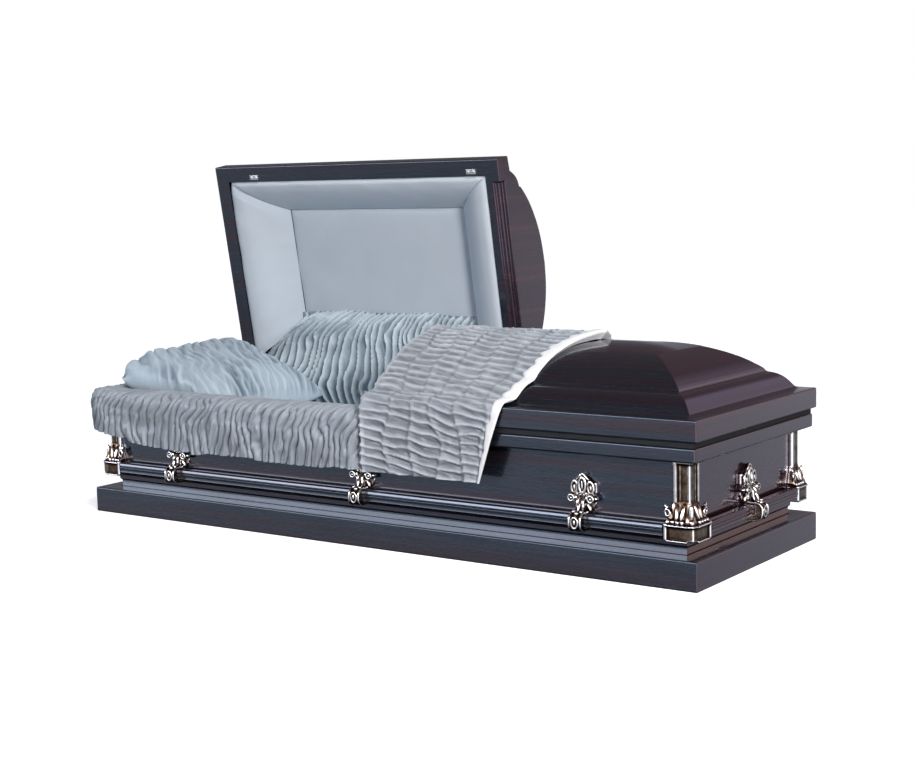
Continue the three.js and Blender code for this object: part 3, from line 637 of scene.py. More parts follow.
for name, side, x, opening, steps in (
        ("head_lid", -1, SPLIT - SPLIT_GAP, (-999, 45), ((28, 11.8), (11, 11.6))),
        ("foot_lid", 1, SPLIT + SPLIT_GAP, (120, 999), ())):
    bm = lid_shell(side, x, steps)
    lid_underside(bm, *opening)
    bmesh.ops.recalc_face_normals(bm, faces=bm.faces[:])
    rolled = folded_edges(bm, lambda a, b: max(abs(a.x - x), abs(b.x - x)) < 0.01 and min(a.z, b.z) > 57)
    rounded(bm, rolled, 7, 4)
    creased = folded_edges(bm, lambda a, b: max(abs(a.x - x), abs(b.x - x)) > 7.5 or max(a.z, b.z) < 54, 24)
    rounded(bm, creased, 4.0)
    for edge in [edge for edge in bm.edges if not edge.link_faces]:
        bm.edges.remove(edge)
    bmesh.ops.translate(bm, vec=(0, 0, LID_BOTTOM), verts=bm.verts[:])
    finish_metal(bm, name + "_steel", name, name + "_body", SHEET)

# %% [markdown]
# ## Handle bars, hinges and catches
# The bars are extruded sections with grooves along the face, the hinges and catches are small plain
# castings. The CAD model has their shapes, so a merged copy only gets its edges broken.

# %% Break the edges of small parts
PLAIN_CREST_HIGHLIGHT = 0.74      # the crest value of the plain castings, from 0 in a recess to 1 on a crest: this high, they are painted near white, a painted highlight


def merged_copy(node):
    """A copy of a CAD node's mesh with its doubled points merged, in metres."""
    bm = bmesh.new()
    bm.from_mesh(frame["nodes"][node].data)
    bmesh.ops.remove_doubles(bm, verts=bm.verts[:], dist=0.00002)
    return bm


def mark_points(mesh, name, values):
    """Stores one value for each point, which the material reads."""
    mesh.attributes.new(name, "FLOAT", "POINT").data.foreach_set("value", np.asarray(values, np.float32))


body_of = {node: body for body, nodes in frame["record"]["behaviour"]["bodies"].items() for node in nodes}
small_parts = [node for node in frame["nodes"] if node != "hinge_puff"
               and node.startswith(("handle_bar", "hinge_", "lid_catch"))]
for node in small_parts:
    bar = node.startswith("handle_bar")
    bm = merged_copy(node)
    bmesh.ops.dissolve_limit(bm, angle_limit=math.radians(1.5), verts=bm.verts[:], edges=bm.edges[:])
    rounded(bm, folded_edges(bm, limit=12 if bar else 20), 0.0011 if bar else 0.0006, 2)
    for face in bm.faces:
        crosswise = abs(face.normal.x) > 0.5 or node in ("handle_bar_head", "handle_bar_foot")
        face.material_index = int(bar and crosswise)
    part = as_object(bm, node + "_eased", [steel_long_reflection_tint, steel_cross_reflection_tint] if bar else [plated], 40)
    mark_points(part.data, "crest", [PLAIN_CREST_HIGHLIGHT] * len(part.data.vertices))
    even_shading(part)
    attach(part, node, body_of[node])
print("small parts", len(small_parts))

# %% [markdown]
# ## Cast ornament
# The ears, the swinging arms and the corner fittings are castings: everything on them flows together
# in small fillets. Real ones are carved in wax and cast. Here it is much the same: simple forms
# (petals, rings, beads) are pushed into each other, and a voxel remesh fuses them into one skin.
# A vertex attribute then tells the crests from the hollows, so that the brown wash can stay in the
# hollows, as it does when such a casting is wiped, together with painted shade there and painted
# highlight on the crests.

# %% Forms for the ornament
AXES = {"X": Matrix.Rotation(math.pi / 2, 4, "Y"), "Y": Matrix.Rotation(math.pi / 2, 4, "X"),
        "Z": Matrix.Identity(4)}


def placed(at, tilt):
    """Turns a form in its face by tilt, in degrees, and moves it to its place."""
    return Matrix.Translation(at) @ Matrix.Rotation(math.radians(tilt), 4, "Y")


def pour_into(bm, own):
    """Adds a mesh made on its own to another."""
    mesh = bpy.data.meshes.new("form")
    own.to_mesh(mesh)
    own.free()
    bm.from_mesh(mesh)
    bpy.data.meshes.remove(mesh)


def petal(bm, at, half, tilt=0.0, lean=0.0):
    """An egg-shaped petal or bead: its half sizes, turned in its face by tilt and outwards by lean."""
    matrix = placed(at, tilt) @ Matrix.Rotation(math.radians(lean), 4, "X") @ Matrix.Diagonal((*half, 1))
    bmesh.ops.create_uvsphere(bm, u_segments=14, v_segments=9, radius=1, matrix=matrix)


def wire_ring(bm, at, axis, radius, thick, tall=1.0, tilt=0.0):
    """A round or oval wire ring, made by spinning a small circle."""
    own = bmesh.new()
    outwards = Matrix.Translation((radius, 0, 0)) @ AXES["Y"]
    bmesh.ops.create_circle(own, segments=10, radius=thick, matrix=outwards)
    bmesh.ops.spin(own, geom=own.verts[:] + own.edges[:], cent=(0, 0, 0), axis=(0, 0, 1), angle=2 * math.pi,
                   steps=28, use_merge=True, use_duplicate=False)
    bmesh.ops.recalc_face_normals(own, faces=own.faces[:])
    place = placed(at, tilt) @ Matrix.Diagonal((1, 1, tall, 1)) @ AXES[axis]
    bmesh.ops.transform(own, matrix=place, verts=own.verts[:])
    pour_into(bm, own)


def bead_line(bm, points, radius, count):
    """A rib: beads along a smooth line, close enough to fuse."""
    flat, _, _ = section([point[1:] for point in points], np.linspace(0, 1, count))
    xs = np.interp(np.linspace(0, 1, count), np.linspace(0, 1, len(points)), [point[0] for point in points])
    for x, (y, z) in zip(xs, flat):
        bmesh.ops.create_icosphere(bm, subdivisions=2, radius=radius, matrix=Matrix.Translation((x, y, z)))


# %% Fuse a casting and put copies in place


def cast(bm, name, voxel, rounds=2, spread=10):
    """Fuses overlapping forms (mm) into one smooth skin and marks crests (1) and hollows (0).

    A point counts as a crest when it stands out from the average of the skin round it, spread edges wide.
    """
    obj = as_object(bm, name, [plated])
    skin = obj.modifiers.new("fuse", "REMESH")
    skin.mode, skin.voxel_size = "VOXEL", voxel
    fused = bpy.data.meshes.new_from_object(obj.evaluated_get(bpy.context.evaluated_depsgraph_get()))
    bpy.data.objects.remove(obj)
    bm = bmesh.new()
    bm.from_mesh(fused)
    for _ in range(rounds):
        bmesh.ops.smooth_vert(bm, verts=bm.verts[:], factor=0.5, use_axis_x=True, use_axis_y=True,
                              use_axis_z=True)
    bm.to_mesh(fused)
    points = np.array([v.co for v in bm.verts])
    normals = np.array([v.normal for v in bm.verts])
    ends = np.array([[v.index for v in edge.verts] for edge in bm.edges])
    bm.free()
    degree = np.bincount(ends.ravel(), minlength=len(points))[:, None]
    soft = points.copy()
    for _ in range(spread):
        total = np.zeros_like(soft)
        np.add.at(total, ends[:, 0], soft[ends[:, 1]])
        np.add.at(total, ends[:, 1], soft[ends[:, 0]])
        soft = total / degree
    mark_points(fused, "crest", np.clip(0.5 + ((points - soft) * normals).sum(1) / (1.6 * voxel), 0, 1))
    print(name, len(fused.polygons), "faces")
    return fused


def place_casting(fused, name, node, matrix):
    """One copy of a casting, put in its place; a mirrored copy has its faces turned back."""
    mesh = fused.copy()
    mesh.transform(Matrix.Diagonal((MM, MM, MM, 1)) @ matrix)
    if matrix.determinant() < 0:
        mesh.flip_normals()
    mesh.shade_smooth()
    attach(new_object(name, mesh), node, body_of[node])


# %% [markdown]
# ## Ears and arms
# An ear is a three-lobed crest over two scrolls; the arm hangs between the scrolls in a double swan
# neck and grips the bar with an oval clasp. The CAD solids are the core that carries the ornament.

# %% The eight sites of the handles
PANEL_X, PANEL_Y = 1009.0, 310.5      # where the end panels and the side panels stand
sites = []
for side, turn, places in (("near", 0, (-715, 0, 715)), ("far", math.pi, (715, 0, -715))):
    sites += [(f"{side}_{k + 1}", turn, PANEL_Y, along) for k, along in enumerate(places)]
sites += [("head", -math.pi / 2, PANEL_X, 0), ("foot", math.pi / 2, PANEL_X, 0)]


def core_of(node):
    """The CAD solid of a near ear or arm, in millimetres, with its panel moved to the plane y = 0."""
    bm = merged_copy(node)
    bmesh.ops.scale(bm, vec=(1000, 1000, 1000), verts=bm.verts[:])
    bmesh.ops.translate(bm, vec=(0, PANEL_Y, 0), verts=bm.verts[:])
    return bm


def place_at_sites(fused, name, node):
    """One copy of a casting at each site."""
    for site, turn, distance, along in sites:
        matrix = Matrix.Rotation(turn, 4, "Z") @ Matrix.Translation((along, -distance, 0))
        place_casting(fused, f"{name}_{site}", f"{node}_{site}", matrix)


print("handle sites", [site[0] for site in sites])

# %% Ears
bm = core_of("ear_near_2")
for side in (-1, 1):
    wire_ring(bm, (side * 24, -14, 226), "Y", 8.5, 3.0, 1.75, -side * 6)
    petal(bm, (side * 24, -13, 224), (3.0, 4.5, 9))
    petal(bm, (side * 8.5, -12, 254), (4.2, 4.5, 11), -side * 34)
    wire_ring(bm, (side * 28.5, -24, 199), "Y", 8.0, 3.0)
    petal(bm, (side * 28.5, -24, 199), (3.4, 3.6, 3.4))
    petal(bm, (side * 16, -9, 176), (5.5, 5, 13), -side * 28)
    wire_ring(bm, (side * 36, -14, 200), "X", 8.0, 2.6)
wire_ring(bm, (0, -15.5, 231), "Y", 9.5, 3.2, 2.0)
petal(bm, (0, -15.5, 232), (2.6, 4.5, 15))
petal(bm, (0, -11, 258), (4.0, 4.5, 8))
petal(bm, (0, -9, 172), (5.5, 5.5, 13))
for x in (-27, -18, -9, 0, 9, 18, 27):
    petal(bm, (x, -12, 210.5), (4.0, 4.0, 3.2))
place_at_sites(cast(bm, "ear_form", 1.25), "cast_ear", "ear")

# %% Arms
bm = core_of("handle_arm_near_2")
for side in (-1, 1):
    bead_line(bm, [(side * 6.5, -17, 205), (side * 8, -26, 192), (side * 8, -28, 178), (side * 9, -38, 165)],
              4.0, 22)
    wire_ring(bm, (side * 15.5, -14, 200), "X", 7.6, 2.4)
    clasp = [(-16, 118.5), (-43, 118.5), (-53.5, 125), (-57, 135), (-57, 148), (-53.5, 157.5), (-43, 164),
             (-16, 164)]
    bead_line(bm, [(side * 16.5, y, z) for y, z in clasp], 2.7, 60)
    petal(bm, (side * 11, -40, 168), (4.5, 6, 4.5))
petal(bm, (0, -33, 180), (4.0, 5.0, 15), 0, -22)
petal(bm, (0, -46, 164.5), (6, 6, 5))
wire_ring(bm, (0, -57, 141), "Y", 9.5, 2.6, 1.45)
petal(bm, (0, -57, 141), (3.4, 3.4, 9))
place_at_sites(cast(bm, "arm_form", 1.25), "cast_arm", "handle_arm")

# %% [markdown]
# ## Corner fittings
# A fluted shaft stands on a flare of curled petals over a square boot, wrapped round the body's
# corner. Its skin is one ring of edges extruded up through the levels of the section, each level
# [height, proud of the panel, wing length, petal depth, squareness]; beads and petals are fused to it.

# %% Skin of a corner fitting
levels = [(117, 27, 51, 0, 0.38), (119.5, 30, 53, 0, 0.4), (153, 30, 53, 0, 0.4), (154.5, 32, 54, 0, 0.4),
          (158, 32, 54, 0, 0.4), (161, 25, 50, 2, 0.3), (168, 24, 51, 4, 0.2), (176, 21, 49, 4, 0.2),
          (188, 15, 45, 3, 0.2), (205, 10.5, 41, 1, 0.3), (214, 7.5, 38, 0, 0.5), (305, 7.5, 38, 0, 0.5),
          (308, 10, 40, 0, 0.5), (314, 10, 40, 0, 0.5)]


def fitting_ring(z, proud, wing, depth, square):
    """The section at one level, drawn for the corner at +X, +Y: outer face, then back along the panel."""
    along, fan, back = 18, 10, 0.4

    def outwards(share):
        """How far the wing stands out: three petals from its end to the corner."""
        return proud + depth * (abs(math.sin(3 * math.pi * share)) - 0.5)

    wing_face = [((k / along - 1) * wing, outwards(k / along)) for k in range(along)]
    ring = list(wing_face)
    for k in range(fan + 1):
        angle = k / fan * math.pi / 2
        squared = 1 + square * (1 / max(math.cos(angle), math.sin(angle)) - 1)
        reach = squared * (outwards(0) + depth * math.sin(2 * angle))
        ring.append((math.sin(angle) * reach, math.cos(angle) * reach))
    ring += [(b, a) for a, b in reversed(wing_face)]
    return [(a, b, z) for a, b in ring + [(back, -wing), (back, back), (-wing, back)]]


bm, bottom, top = extruded_rows([fitting_ring(*level) for level in levels], closed=True)
for end in (bottom, top):
    bmesh.ops.contextual_create(bm, geom=end)
bmesh.ops.recalc_face_normals(bm, faces=bm.faces[:])
print("fitting skin", len(bm.faces), "faces")

# %% Ornament of the corner fittings
SWAPPED = Matrix(((0, 1, 0, 0), (1, 0, 0, 0), (0, 0, 1, 0), (0, 0, 0, 1)))      # x and y change places


def fitting_ornament():
    """The beads and petals on one wing of a corner fitting."""
    own = bmesh.new()
    for at, heights, radius, count in (
            ((-32.5, 5.5), (212, 260, 312), 6.2, 34), ((-19.5, 6.8), (214, 260, 308), 1.9, 60),
            ((-49, 31.5), (122, 138, 154), 4.6, 14)):
        bead_line(own, [(*at, z) for z in heights], radius, count)
    for y, z, end, radius in ((32, 118.5, 8, 2.4), (33, 156.5, 10, 2.6)):
        bead_line(own, [(-50, y, z), (-20, y, z), (end, y, z)], radius, 40)
    for a, b, z, tall, tilt in ((-8, 17, 186, 24, 6), (-24, 17, 184, 22, -4), (-40, 15, 182, 18, -18)):
        petal(own, (a, b, z), (5.4, 5.5, tall), tilt, 16)
    for a in (-6, -19, -32, -45):
        petal(own, (a, 25, 165), (5.6, 6.2, 6.2))
    wire_ring(own, (-48, 20, 186), "Y", 6.5, 2.8, 1.3, -20)
    petal(own, (-52, 17, 200), (4.5, 4.5, 9), -35)
    petal(own, (-49, 31, 158), (5.6, 5.6, 5.6))
    return own


for mirrored_wing in (False, True):
    own = fitting_ornament()
    if mirrored_wing:
        bmesh.ops.transform(own, matrix=SWAPPED, verts=own.verts[:])
        bmesh.ops.reverse_faces(own, faces=own.faces[:])
    pour_into(bm, own)
for z, at, tall in ((186, 17, 24), (165, 22.5, 7)):
    petal(bm, (at * 0.8, at * 0.8, z), (6.0, 6.0, tall))
fitting_skin = cast(bm, "corner_form", 1.5)
for sx, end in ((-1, "head"), (1, "foot")):
    for sy, side in ((-1, "near"), (1, "far")):
        matrix = Matrix.Diagonal((sx, sy, 1, 1)) @ Matrix.Translation((PANEL_X, PANEL_Y, 0))
        node = f"corner_fitting_{side}_{end}"
        place_casting(fitting_skin, "cast_" + node, node, matrix)

# %% [markdown]
# ## How gathered cloth is made
# Ruched lining is one sheet, gathered onto a tape until it falls in narrow rounded folds with sharp
# valleys. A cloth simulation of a few hundred folds is slow and hard to steer, so each sheet starts
# as a flat grid and every point is moved: first onto a smooth section curve, then along that
# curve's normal by the height of the fold at that place. The folds wander because their phase is
# shifted by smooth random values. A place function may also return how much painted shade each
# point gets, from 0 to 1: the material darkens the valleys with it, where folds would close over
# the cloth in life and shade it.

# %% Folds


def folds(run, fall, spacing, seed, wander=1.0, narrow=False):
    """Height from 0, in the valleys, to 1, on the ridges, of gathers that follow the fall of the cloth."""
    sway = 0.8 * drift(run / 95, fall / 85, seed) + 0.4 * drift(run / 38, fall / 45, seed + 1)
    phase = run / spacing + wander * sway
    phase = phase + 0.09 * np.sin(2 * np.pi * phase)
    wave = np.abs(np.sin(np.pi * phase))
    ridge = (1 - wave) ** 1.1 if narrow else wave ** 0.95
    swell = 0.8 + 0.2 * drift(run / 70, fall / 60, seed + 3)
    return np.clip(ridge * swell, 0, 1)


def creases(run, fall, width, seed, slant=0.3):
    """Thin raised wrinkles, from 0 to 1, that start and stop at random along the fall."""
    far_in = 40      # where in the table of random values the creases start
    total = 0
    for size, weight in ((width, 0.6), (int(width * 1.7), 0.4)):
        swell = drift((run + slant * fall) / size + far_in, fall / (size * 5.5) + far_in, seed + size)
        total = total + weight * np.clip(1 - 1.9 * np.abs(swell), 0, 1) ** 1.3
    return total


def fold_shade(height, strength=0.8):
    """How much painted shade the cloth gets at a fold height from 0 to 1: most in the valleys."""
    return strength * np.clip(1 - 1.15 * height, 0, 1) ** 1.6


# %% Sheets


def lay_out(bm, spot_of):
    """Gives every corner of every face its spot on the flat cloth, in metres."""
    layer = bm.loops.layers.uv.new("cloth")
    for face in bm.faces:
        for loop in face.loops:
            loop[layer].uv = spot_of(loop.vert)


def move_points(verts, points):
    """Puts every vertex at its own point."""
    for vert, point in zip(verts, points):
        vert.co = point


def sheet_of(name, shares, place, size, material, thickness=1.6, flip=False):
    """A sheet: a grid whose points go to place(u, v) in millimetres. Its UV map is in metres."""
    bm = bmesh.new()
    valley = bm.verts.layers.float.new("valley")
    bmesh.ops.create_grid(bm, x_segments=shares[0], y_segments=shares[1], size=0.5)
    flat = np.array([v.co for v in bm.verts])[:, :2] + 0.5
    moved = place(flat[:, 0], flat[:, 1])
    moved, hollows = moved if isinstance(moved, tuple) else (moved, np.zeros(len(flat)))
    move_points(bm.verts, moved * MM)
    # Each point stores its painted shade, which the material reads.
    for vert, painted_shade in zip(bm.verts, hollows):
        vert[valley] = painted_shade
    spots = flat * size * MM
    bm.verts.index_update()
    lay_out(bm, lambda vert: spots[vert.index])
    if flip:
        bmesh.ops.reverse_faces(bm, faces=bm.faces[:])
    area = sum(face.calc_area() for face in bm.faces)
    bmesh.ops.solidify(bm, geom=bm.faces[:], thickness=thickness * MM)
    obj = as_object(bm, name, [material], 75)
    print(name, "area", round(area, 3), "m2,", len(obj.data.polygons), "faces")
    return obj, area


# %% [markdown]
# ## The apron
# A gathered sheet starts inside the box, rolls over the rim and hangs down outside as far as the
# ears, at the near side and round the head end. Its section is [inset from the outline, height].
# The rounded corner is an arc whose radius shrinks for the inner part of the sheet.

# %% Apron
apron_section = [(90, 338), (91, 358), (86, 377), (73, 389), (52, 395), (28, 396.5), (5, 393), (-13, 384),
                 (-23, 368), (-28, 345), (-30, 315), (-29, 280), (-28, 250), (-27, 222)]
APRON_RUN = 1800.5                      # along the near side, round the corner and along the head end
NEAR_SHARE, CORNER_SHARE = 0.6, 0.075   # of that run
LIFTED_SHARE = 190 / 1800               # of the run, where the hem is drawn up over the corner
APRON_CORNER = 62.0                     # radius of the corner
APRON_START, APRON_END = 46, 285        # x where it starts at the split, and y where it ends


def apron_place(u, v):
    """Places the apron: u runs from the split round the head end, v from inside the box to the hem."""
    run = u * APRON_RUN
    point, normal, fall = section(apron_section, v)
    hem = np.clip((fall - 120) / 150, 0, 1)
    lean = -0.42 * np.clip(fall - 40, 0, 170) - 6 * np.sin(fall / 40.0)
    height = folds(run + lean, fall, 30, 11) - 0.02
    height = 0.7 * height + 0.3 * creases(run + 1.5 * lean, fall, 9, 12, -0.15)
    depth = 8.0 + 12.0 * np.clip((fall - 40) / 60, 0, 1)
    point = point + normal * (depth * (1 - height))[:, None]
    inset, z = point[:, 0], point[:, 1]
    lifted = 42 * np.exp(-((u - NEAR_SHARE - CORNER_SHARE / 2) / LIFTED_SHARE) ** 2)
    z = z + hem * (lifted + 4.5 * drift(run / 55, 0 * run, 5) + 11 * np.clip(0.4 - height, 0, 1))
    tucked_end = 15 * np.clip((60 - run) / 34, 0, 1) * np.clip(fall / 120, 0, 1)
    inset = inset - hem * (3.0 + 3.0 * drift(run / 80, 0 * run, 8)) + tucked_end
    radius = np.maximum(APRON_CORNER - inset, 3)
    centre = np.maximum(APRON_CORNER, inset + 3)
    x0, y0 = -HALF_L + centre, -HALF_W + centre
    near = np.clip(u / NEAR_SHARE, 0, 1)
    turn = np.clip((u - NEAR_SHARE) / CORNER_SHARE, 0, 1) * math.pi / 2
    end = np.clip((u - NEAR_SHARE - CORNER_SHARE) / (1 - NEAR_SHARE - CORNER_SHARE), 0, 1)
    x = APRON_START + (x0 - APRON_START) * near - radius * np.sin(turn)
    y = y0 - radius * np.cos(turn) + (APRON_END - y0) * end
    # The second value is painted shade in the fold valleys.
    return np.stack([x, y, z], -1), fold_shade(height, 0.7)


apron, apron_area = sheet_of("apron_cloth", (740, 64), apron_place, (4200, 470), apron_crepe_painted_darker)
attach(apron, "apron", "casket_body")
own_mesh(apron)

# %% [markdown]
# ## The lining of the box
# Inside, the four sides are boards covered with gathered crepe. Mostly they hide behind the mattress
# and the pillow, but from above or from the far side the folds show, so they are real too.

# %% Side linings
WALL_HEIGHT, WALL_CLOTH = 318, 320      # height of a board, and length of the cloth that falls over it
WALL_FOLD = 11                          # depth of its folds


def wall_place(start, along, inward):
    """Places a gathered wall that starts at a point and runs along one axis, folds standing inward."""
    start, along, inward = (np.array(item, float) for item in (start, along, inward))
    seed = int(abs(start[0] + start[1]))

    def place(u, v):
        height = folds(u * np.linalg.norm(along), v * WALL_CLOTH, 31, seed)
        on_board = start + u[:, None] * along + (v * WALL_HEIGHT)[:, None] * np.array([0, 0, 1.0])
        return on_board + (height * WALL_FOLD - WALL_FOLD)[:, None] * inward

    return place


for name, start, along, inward, flip in (
        ("near_lining", (-975, -268, 22), (1950, 0, 0), (0, 1, 0), True),
        ("far_lining", (-975, 268, 22), (1950, 0, 0), (0, -1, 0), False),
        ("head_lining", (-960, -262, 22), (0, 524, 0), (1, 0, 0), False),
        ("foot_lining", (960, -262, 22), (0, 524, 0), (-1, 0, 0), True)):
    long = sum(along)
    wall, _ = sheet_of(name + "_cloth", (long // 5, 20), wall_place(start, along, inward),
                       (long * 1.8, WALL_CLOTH), lining_crepe, 9, flip)
    attach(wall, name, "casket_body")

# %% [markdown]
# ## The gathered cloth over the hinge
# One sheet runs from the far side of the bed over the hinge into the open lid, so that no metal
# shows there. It is sewn to the slanting faces of the lid's lining at both ends and puffs forward in
# between.

# %% Puff
puff_section = [(254, 272), (248, 300), (246, 328), (250, 352), (264, 376), (283, 398), (297, 421),
                (306, 450), (310, 482), (314, 512), (325, 540), (343, 563), (368, 579), (394, 588),
                (414, 589), (421, 580)]
sewn_section = [(254, 272), (250, 300), (250, 328), (258, 352), (282, 374), (316, 392), (338, 410),
                (352, 434), (362, 458), (372, 482), (382, 506), (392, 528), (402, 548), (411, 562),
                (418, 572), (422, 580)]
PUFF_RUN = 1028


def puff_place(u, v):
    """Places the cloth over the hinge: u runs from the head end to the split, v from the bed to the lid."""
    full, normal, fall = section(puff_section, v)
    sewn = section(sewn_section, v)[0]
    rise = np.clip((full[:, 1] - 400) / 185, 0, 1)
    low, high = -999 + 157 * rise ** 1.2, 46 - 158 * rise      # its ends follow the slanting bevels
    run = PUFF_RUN * u
    edge = np.minimum(u, 1 - u) * (high - low)
    swell = np.where(full[:, 1] < 380, 1, np.clip(edge / 110, 0, 1) ** 0.5)
    lean = 26 * np.sin((fall - 40) / 95.0) + 14 * drift(run / 260, fall / 150, 21)
    height = 0.84 * folds(run + lean, fall, 31, 23, 0.85, True) + 0.16 * creases(run + lean, fall, 10, 26)
    middle = 0.75 + 0.25 * np.sin(np.pi * np.clip((fall - 30) / 330, 0, 1))
    depth = 26.0 * np.clip(fall / 60, 0.4, 1) * middle * np.clip((1 - v) / 0.05, 0.3, 1)
    billow = 6 * drift(run / 150, fall / 200, 27)
    point = sewn + (full - sewn) * swell[:, None] + normal * (billow - depth * (1 - height))[:, None]
    # Painted shade: in the fold valleys, and more towards the bottom, deep in the box.
    painted_shade = np.clip(fold_shade(height, 0.8) + 0.3 * np.clip((430 - full[:, 1]) / 90, 0, 1), 0, 0.95)
    return np.stack([low + (high - low) * u, point[:, 0], point[:, 1]], -1), painted_shade


puff, puff_area = sheet_of("hinge_puff_cloth", (450, 104), puff_place, (2300, 520), puff_crepe_painted_lighter)
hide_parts("hinge_puff")
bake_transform(puff)

# %% [markdown]
# ## The lids' padded lining
# Under each lid a flat panel is framed by four wide padded bevels. The cloth is drawn tight, so the
# bevels are smooth, with a soft crest at the outer edge and a crease where two of them meet.
# Everything is drawn for a shut lid, in [x, distance from the hinge, height], and then turned.

# %% Bevels
PANEL_DEPTH = 98.0       # from the lid's rim up to the flat panel
BEVEL_WIDTH = 160.0      # width that the bevel's section is drawn for
hole_y, panel_y = (-661.0, -50.0), (-547.0, -164.0)
lid_x = {"head": ((-999.0, 45.0), (-831.0, -118.0)), "foot": ((120.0, 999.0), (283.0, 831.0))}
bevel_section = [(0.0, 7), (0.03, 1.0), (0.1, -4.0), (0.2, -3.0), (0.33, 2.5), (0.5, 17), (0.68, 39),
                 (0.85, 66), (0.96, 88), (1.0, 99)]


def turned(points, lid):
    """Lid coordinates in millimetres to the casket's frame; the head lid stands open."""
    angle = -OPEN if lid == "head" else 0.0
    y, h = points[:, 1].copy(), points[:, 2].copy()
    return np.stack([points[:, 0], HALF_W + y * math.cos(angle) - h * math.sin(angle),
                     LID_BOTTOM + y * math.sin(angle) + h * math.cos(angle)], -1)


def bevel_place(lid, where):
    """Places one padded bevel, from the edge of the lid's opening up to the flat panel."""
    hole_x, panel_x = lid_x[lid]
    along_x = where in ("near", "hinge")

    def place(u, v):
        spot, _, _ = section([(share * BEVEL_WIDTH, h) for share, h in bevel_section], v)
        share, h = spot[:, 0] / BEVEL_WIDTH, spot[:, 1]
        x0, x1 = (hole + (panel - hole) * share for hole, panel in zip(hole_x, panel_x))
        y0, y1 = (hole + (panel - hole) * share for hole, panel in zip(hole_y, panel_y))
        long = (x1 - x0) if along_x else (y1 - y0)
        from_end = np.minimum(u, 1 - u) * long
        crease = 5.0 * np.exp(-(from_end / 13) ** 2)
        near_end = 0.8 * np.exp(-from_end / 60)
        pull = 1.1 * drift(u * long / 60, share * 3, 31) + near_end * drift(u * long / 24, share * 5, 32)
        h = h + (crease + pull) * np.clip((1 - share) * 6, 0, 1)
        cut = 0.4      # so that two bevels don't touch along their mitre
        if along_x:
            x, y = x0 + cut + (x1 - x0 - 2 * cut) * u, y0 if where == "near" else y1
        else:
            x, y = x0 if where == "low" else x1, y0 + cut + (y1 - y0 - 2 * cut) * u
        return turned(np.stack([x, y, h], -1), lid)

    return place


# %% Panels, and all the pads of both lids


def panel_place(lid):
    """Places the flat padded panel in the middle of a lid's lining."""
    (x0, x1), (y0, y1) = lid_x[lid][1], panel_y

    def place(u, v):
        edge = np.minimum(np.minimum(u, 1 - u) * (x1 - x0), np.minimum(v, 1 - v) * (y1 - y0))
        soft = 1 - np.exp(-edge / 18)
        wrinkles = 1.2 * drift(u * 7, v * 4, 41) + 0.5 * drift(u * 22, v * 16, 42) * np.exp(-edge / 90)
        h = PANEL_DEPTH + 2.5 - 6.5 * soft + wrinkles
        return turned(np.stack([x0 + 0.6 + (x1 - x0 - 1.2) * u, y0 + 0.6 + (y1 - y0 - 1.2) * v, h], -1), lid)

    return place


for lid, rolls in (("head", {"near": "near", "low": "end", "high": "split"}),
                   ("foot", {"near": "near", "high": "end", "low": "split", "hinge": "hinge"})):
    pads = []
    for where, node in rolls.items():
        pad, _ = sheet_of(f"{lid}_lid_bevel_{node}", (110, 26), bevel_place(lid, where), (1000, 190),
                          lid_crepe, 9, where in ("near", "high"))
        pads.append((pad, f"{lid}_lid_roll_{node}"))
    pad, _ = sheet_of(f"{lid}_lid_panel_cloth", (90, 50), panel_place(lid), (710, 383), lid_crepe, 7, True)
    pads.append((pad, f"{lid}_lid_centre_panel"))
    for pad, node in pads:
        attach(pad, node, f"{lid}_lid_body")

# %% [markdown]
# ## Mattress
# A deep pad with rounded edges whose head end ramps up. A cube is subdivided, its edges are rounded
# by pushing every point out from a smaller core, and the top is crowned and ramped.

# %% Mattress
half, radius = np.array([953.0, 262.0, 138.0]), 34.0
RAMP_FROM, RAMP_RUN, RAMP_RISE = -600, 357, 84      # x where the ramp starts, its length and its rise


def raised(x):
    """How far the bed ramps up towards the head end."""
    return np.clip((RAMP_FROM - x) / RAMP_RUN, 0, 1) * RAMP_RISE


bm = bmesh.new()
bmesh.ops.create_cube(bm, size=2)
bmesh.ops.subdivide_edges(bm, edges=bm.edges[:], cuts=48, use_grid_fill=True)
points = np.array([v.co for v in bm.verts])
spread = np.sign(points) * (1 - (1 - np.abs(points)) ** 1.25)
solid = spread * half
core = np.clip(solid, -(half - radius), half - radius)
away = solid - core
reach = np.linalg.norm(away, axis=1, keepdims=True)
solid = core + away / np.maximum(reach, 1e-9) * np.minimum(reach, radius)
x, y, z = solid.T
top = np.clip(z / half[2], 0, 1)
crowned = 7 * (1 - (x / 960) ** 6) * (1 - (y / 265) ** 4)
crumple = 1.6 * drift(x / 90, y / 60, 51) + 0.9 * drift(x / 30, y / 28, 52)
z = z + 141 + top * (raised(x) + crowned - 4 + crumple)
move_points(bm.verts, np.stack([x, y, z], -1) * MM)
lay_out(bm, lambda vert: (vert.co.x + 0.3 * vert.co.z, vert.co.y + 0.7 * vert.co.z))
mattress = as_object(bm, "mattress_pad", [lining_crepe], 75)
attach(mattress, "mattress", "casket_body")
print("mattress", [round(size, 3) for size in mattress.dimensions])

# %% [markdown]
# ## Pillow
# Two sheets sewn round the edge and stuffed, propped on the ramp so that it faces the opening. The
# form is drawn first, a little slack, and then Blender's cloth with inner pressure fills it out, which
# gives the tight crown and the puckers at the seam. Points may move only a little, so that the pillow
# stays in its place.

# %% Pillow form
BED = 284                                               # height of the flat part of the bed
PILLOW_AT, PILLOW_SIZE = (-992, -282), (370, 534)       # its corner at the head end, and its two sides
SEAM, RISE, HANG = 376, 80, 62                          # height of the seam, and the sheets over and under it


def bed_height(x):
    """Height of the mattress under the pillow."""
    return BED + raised(x)


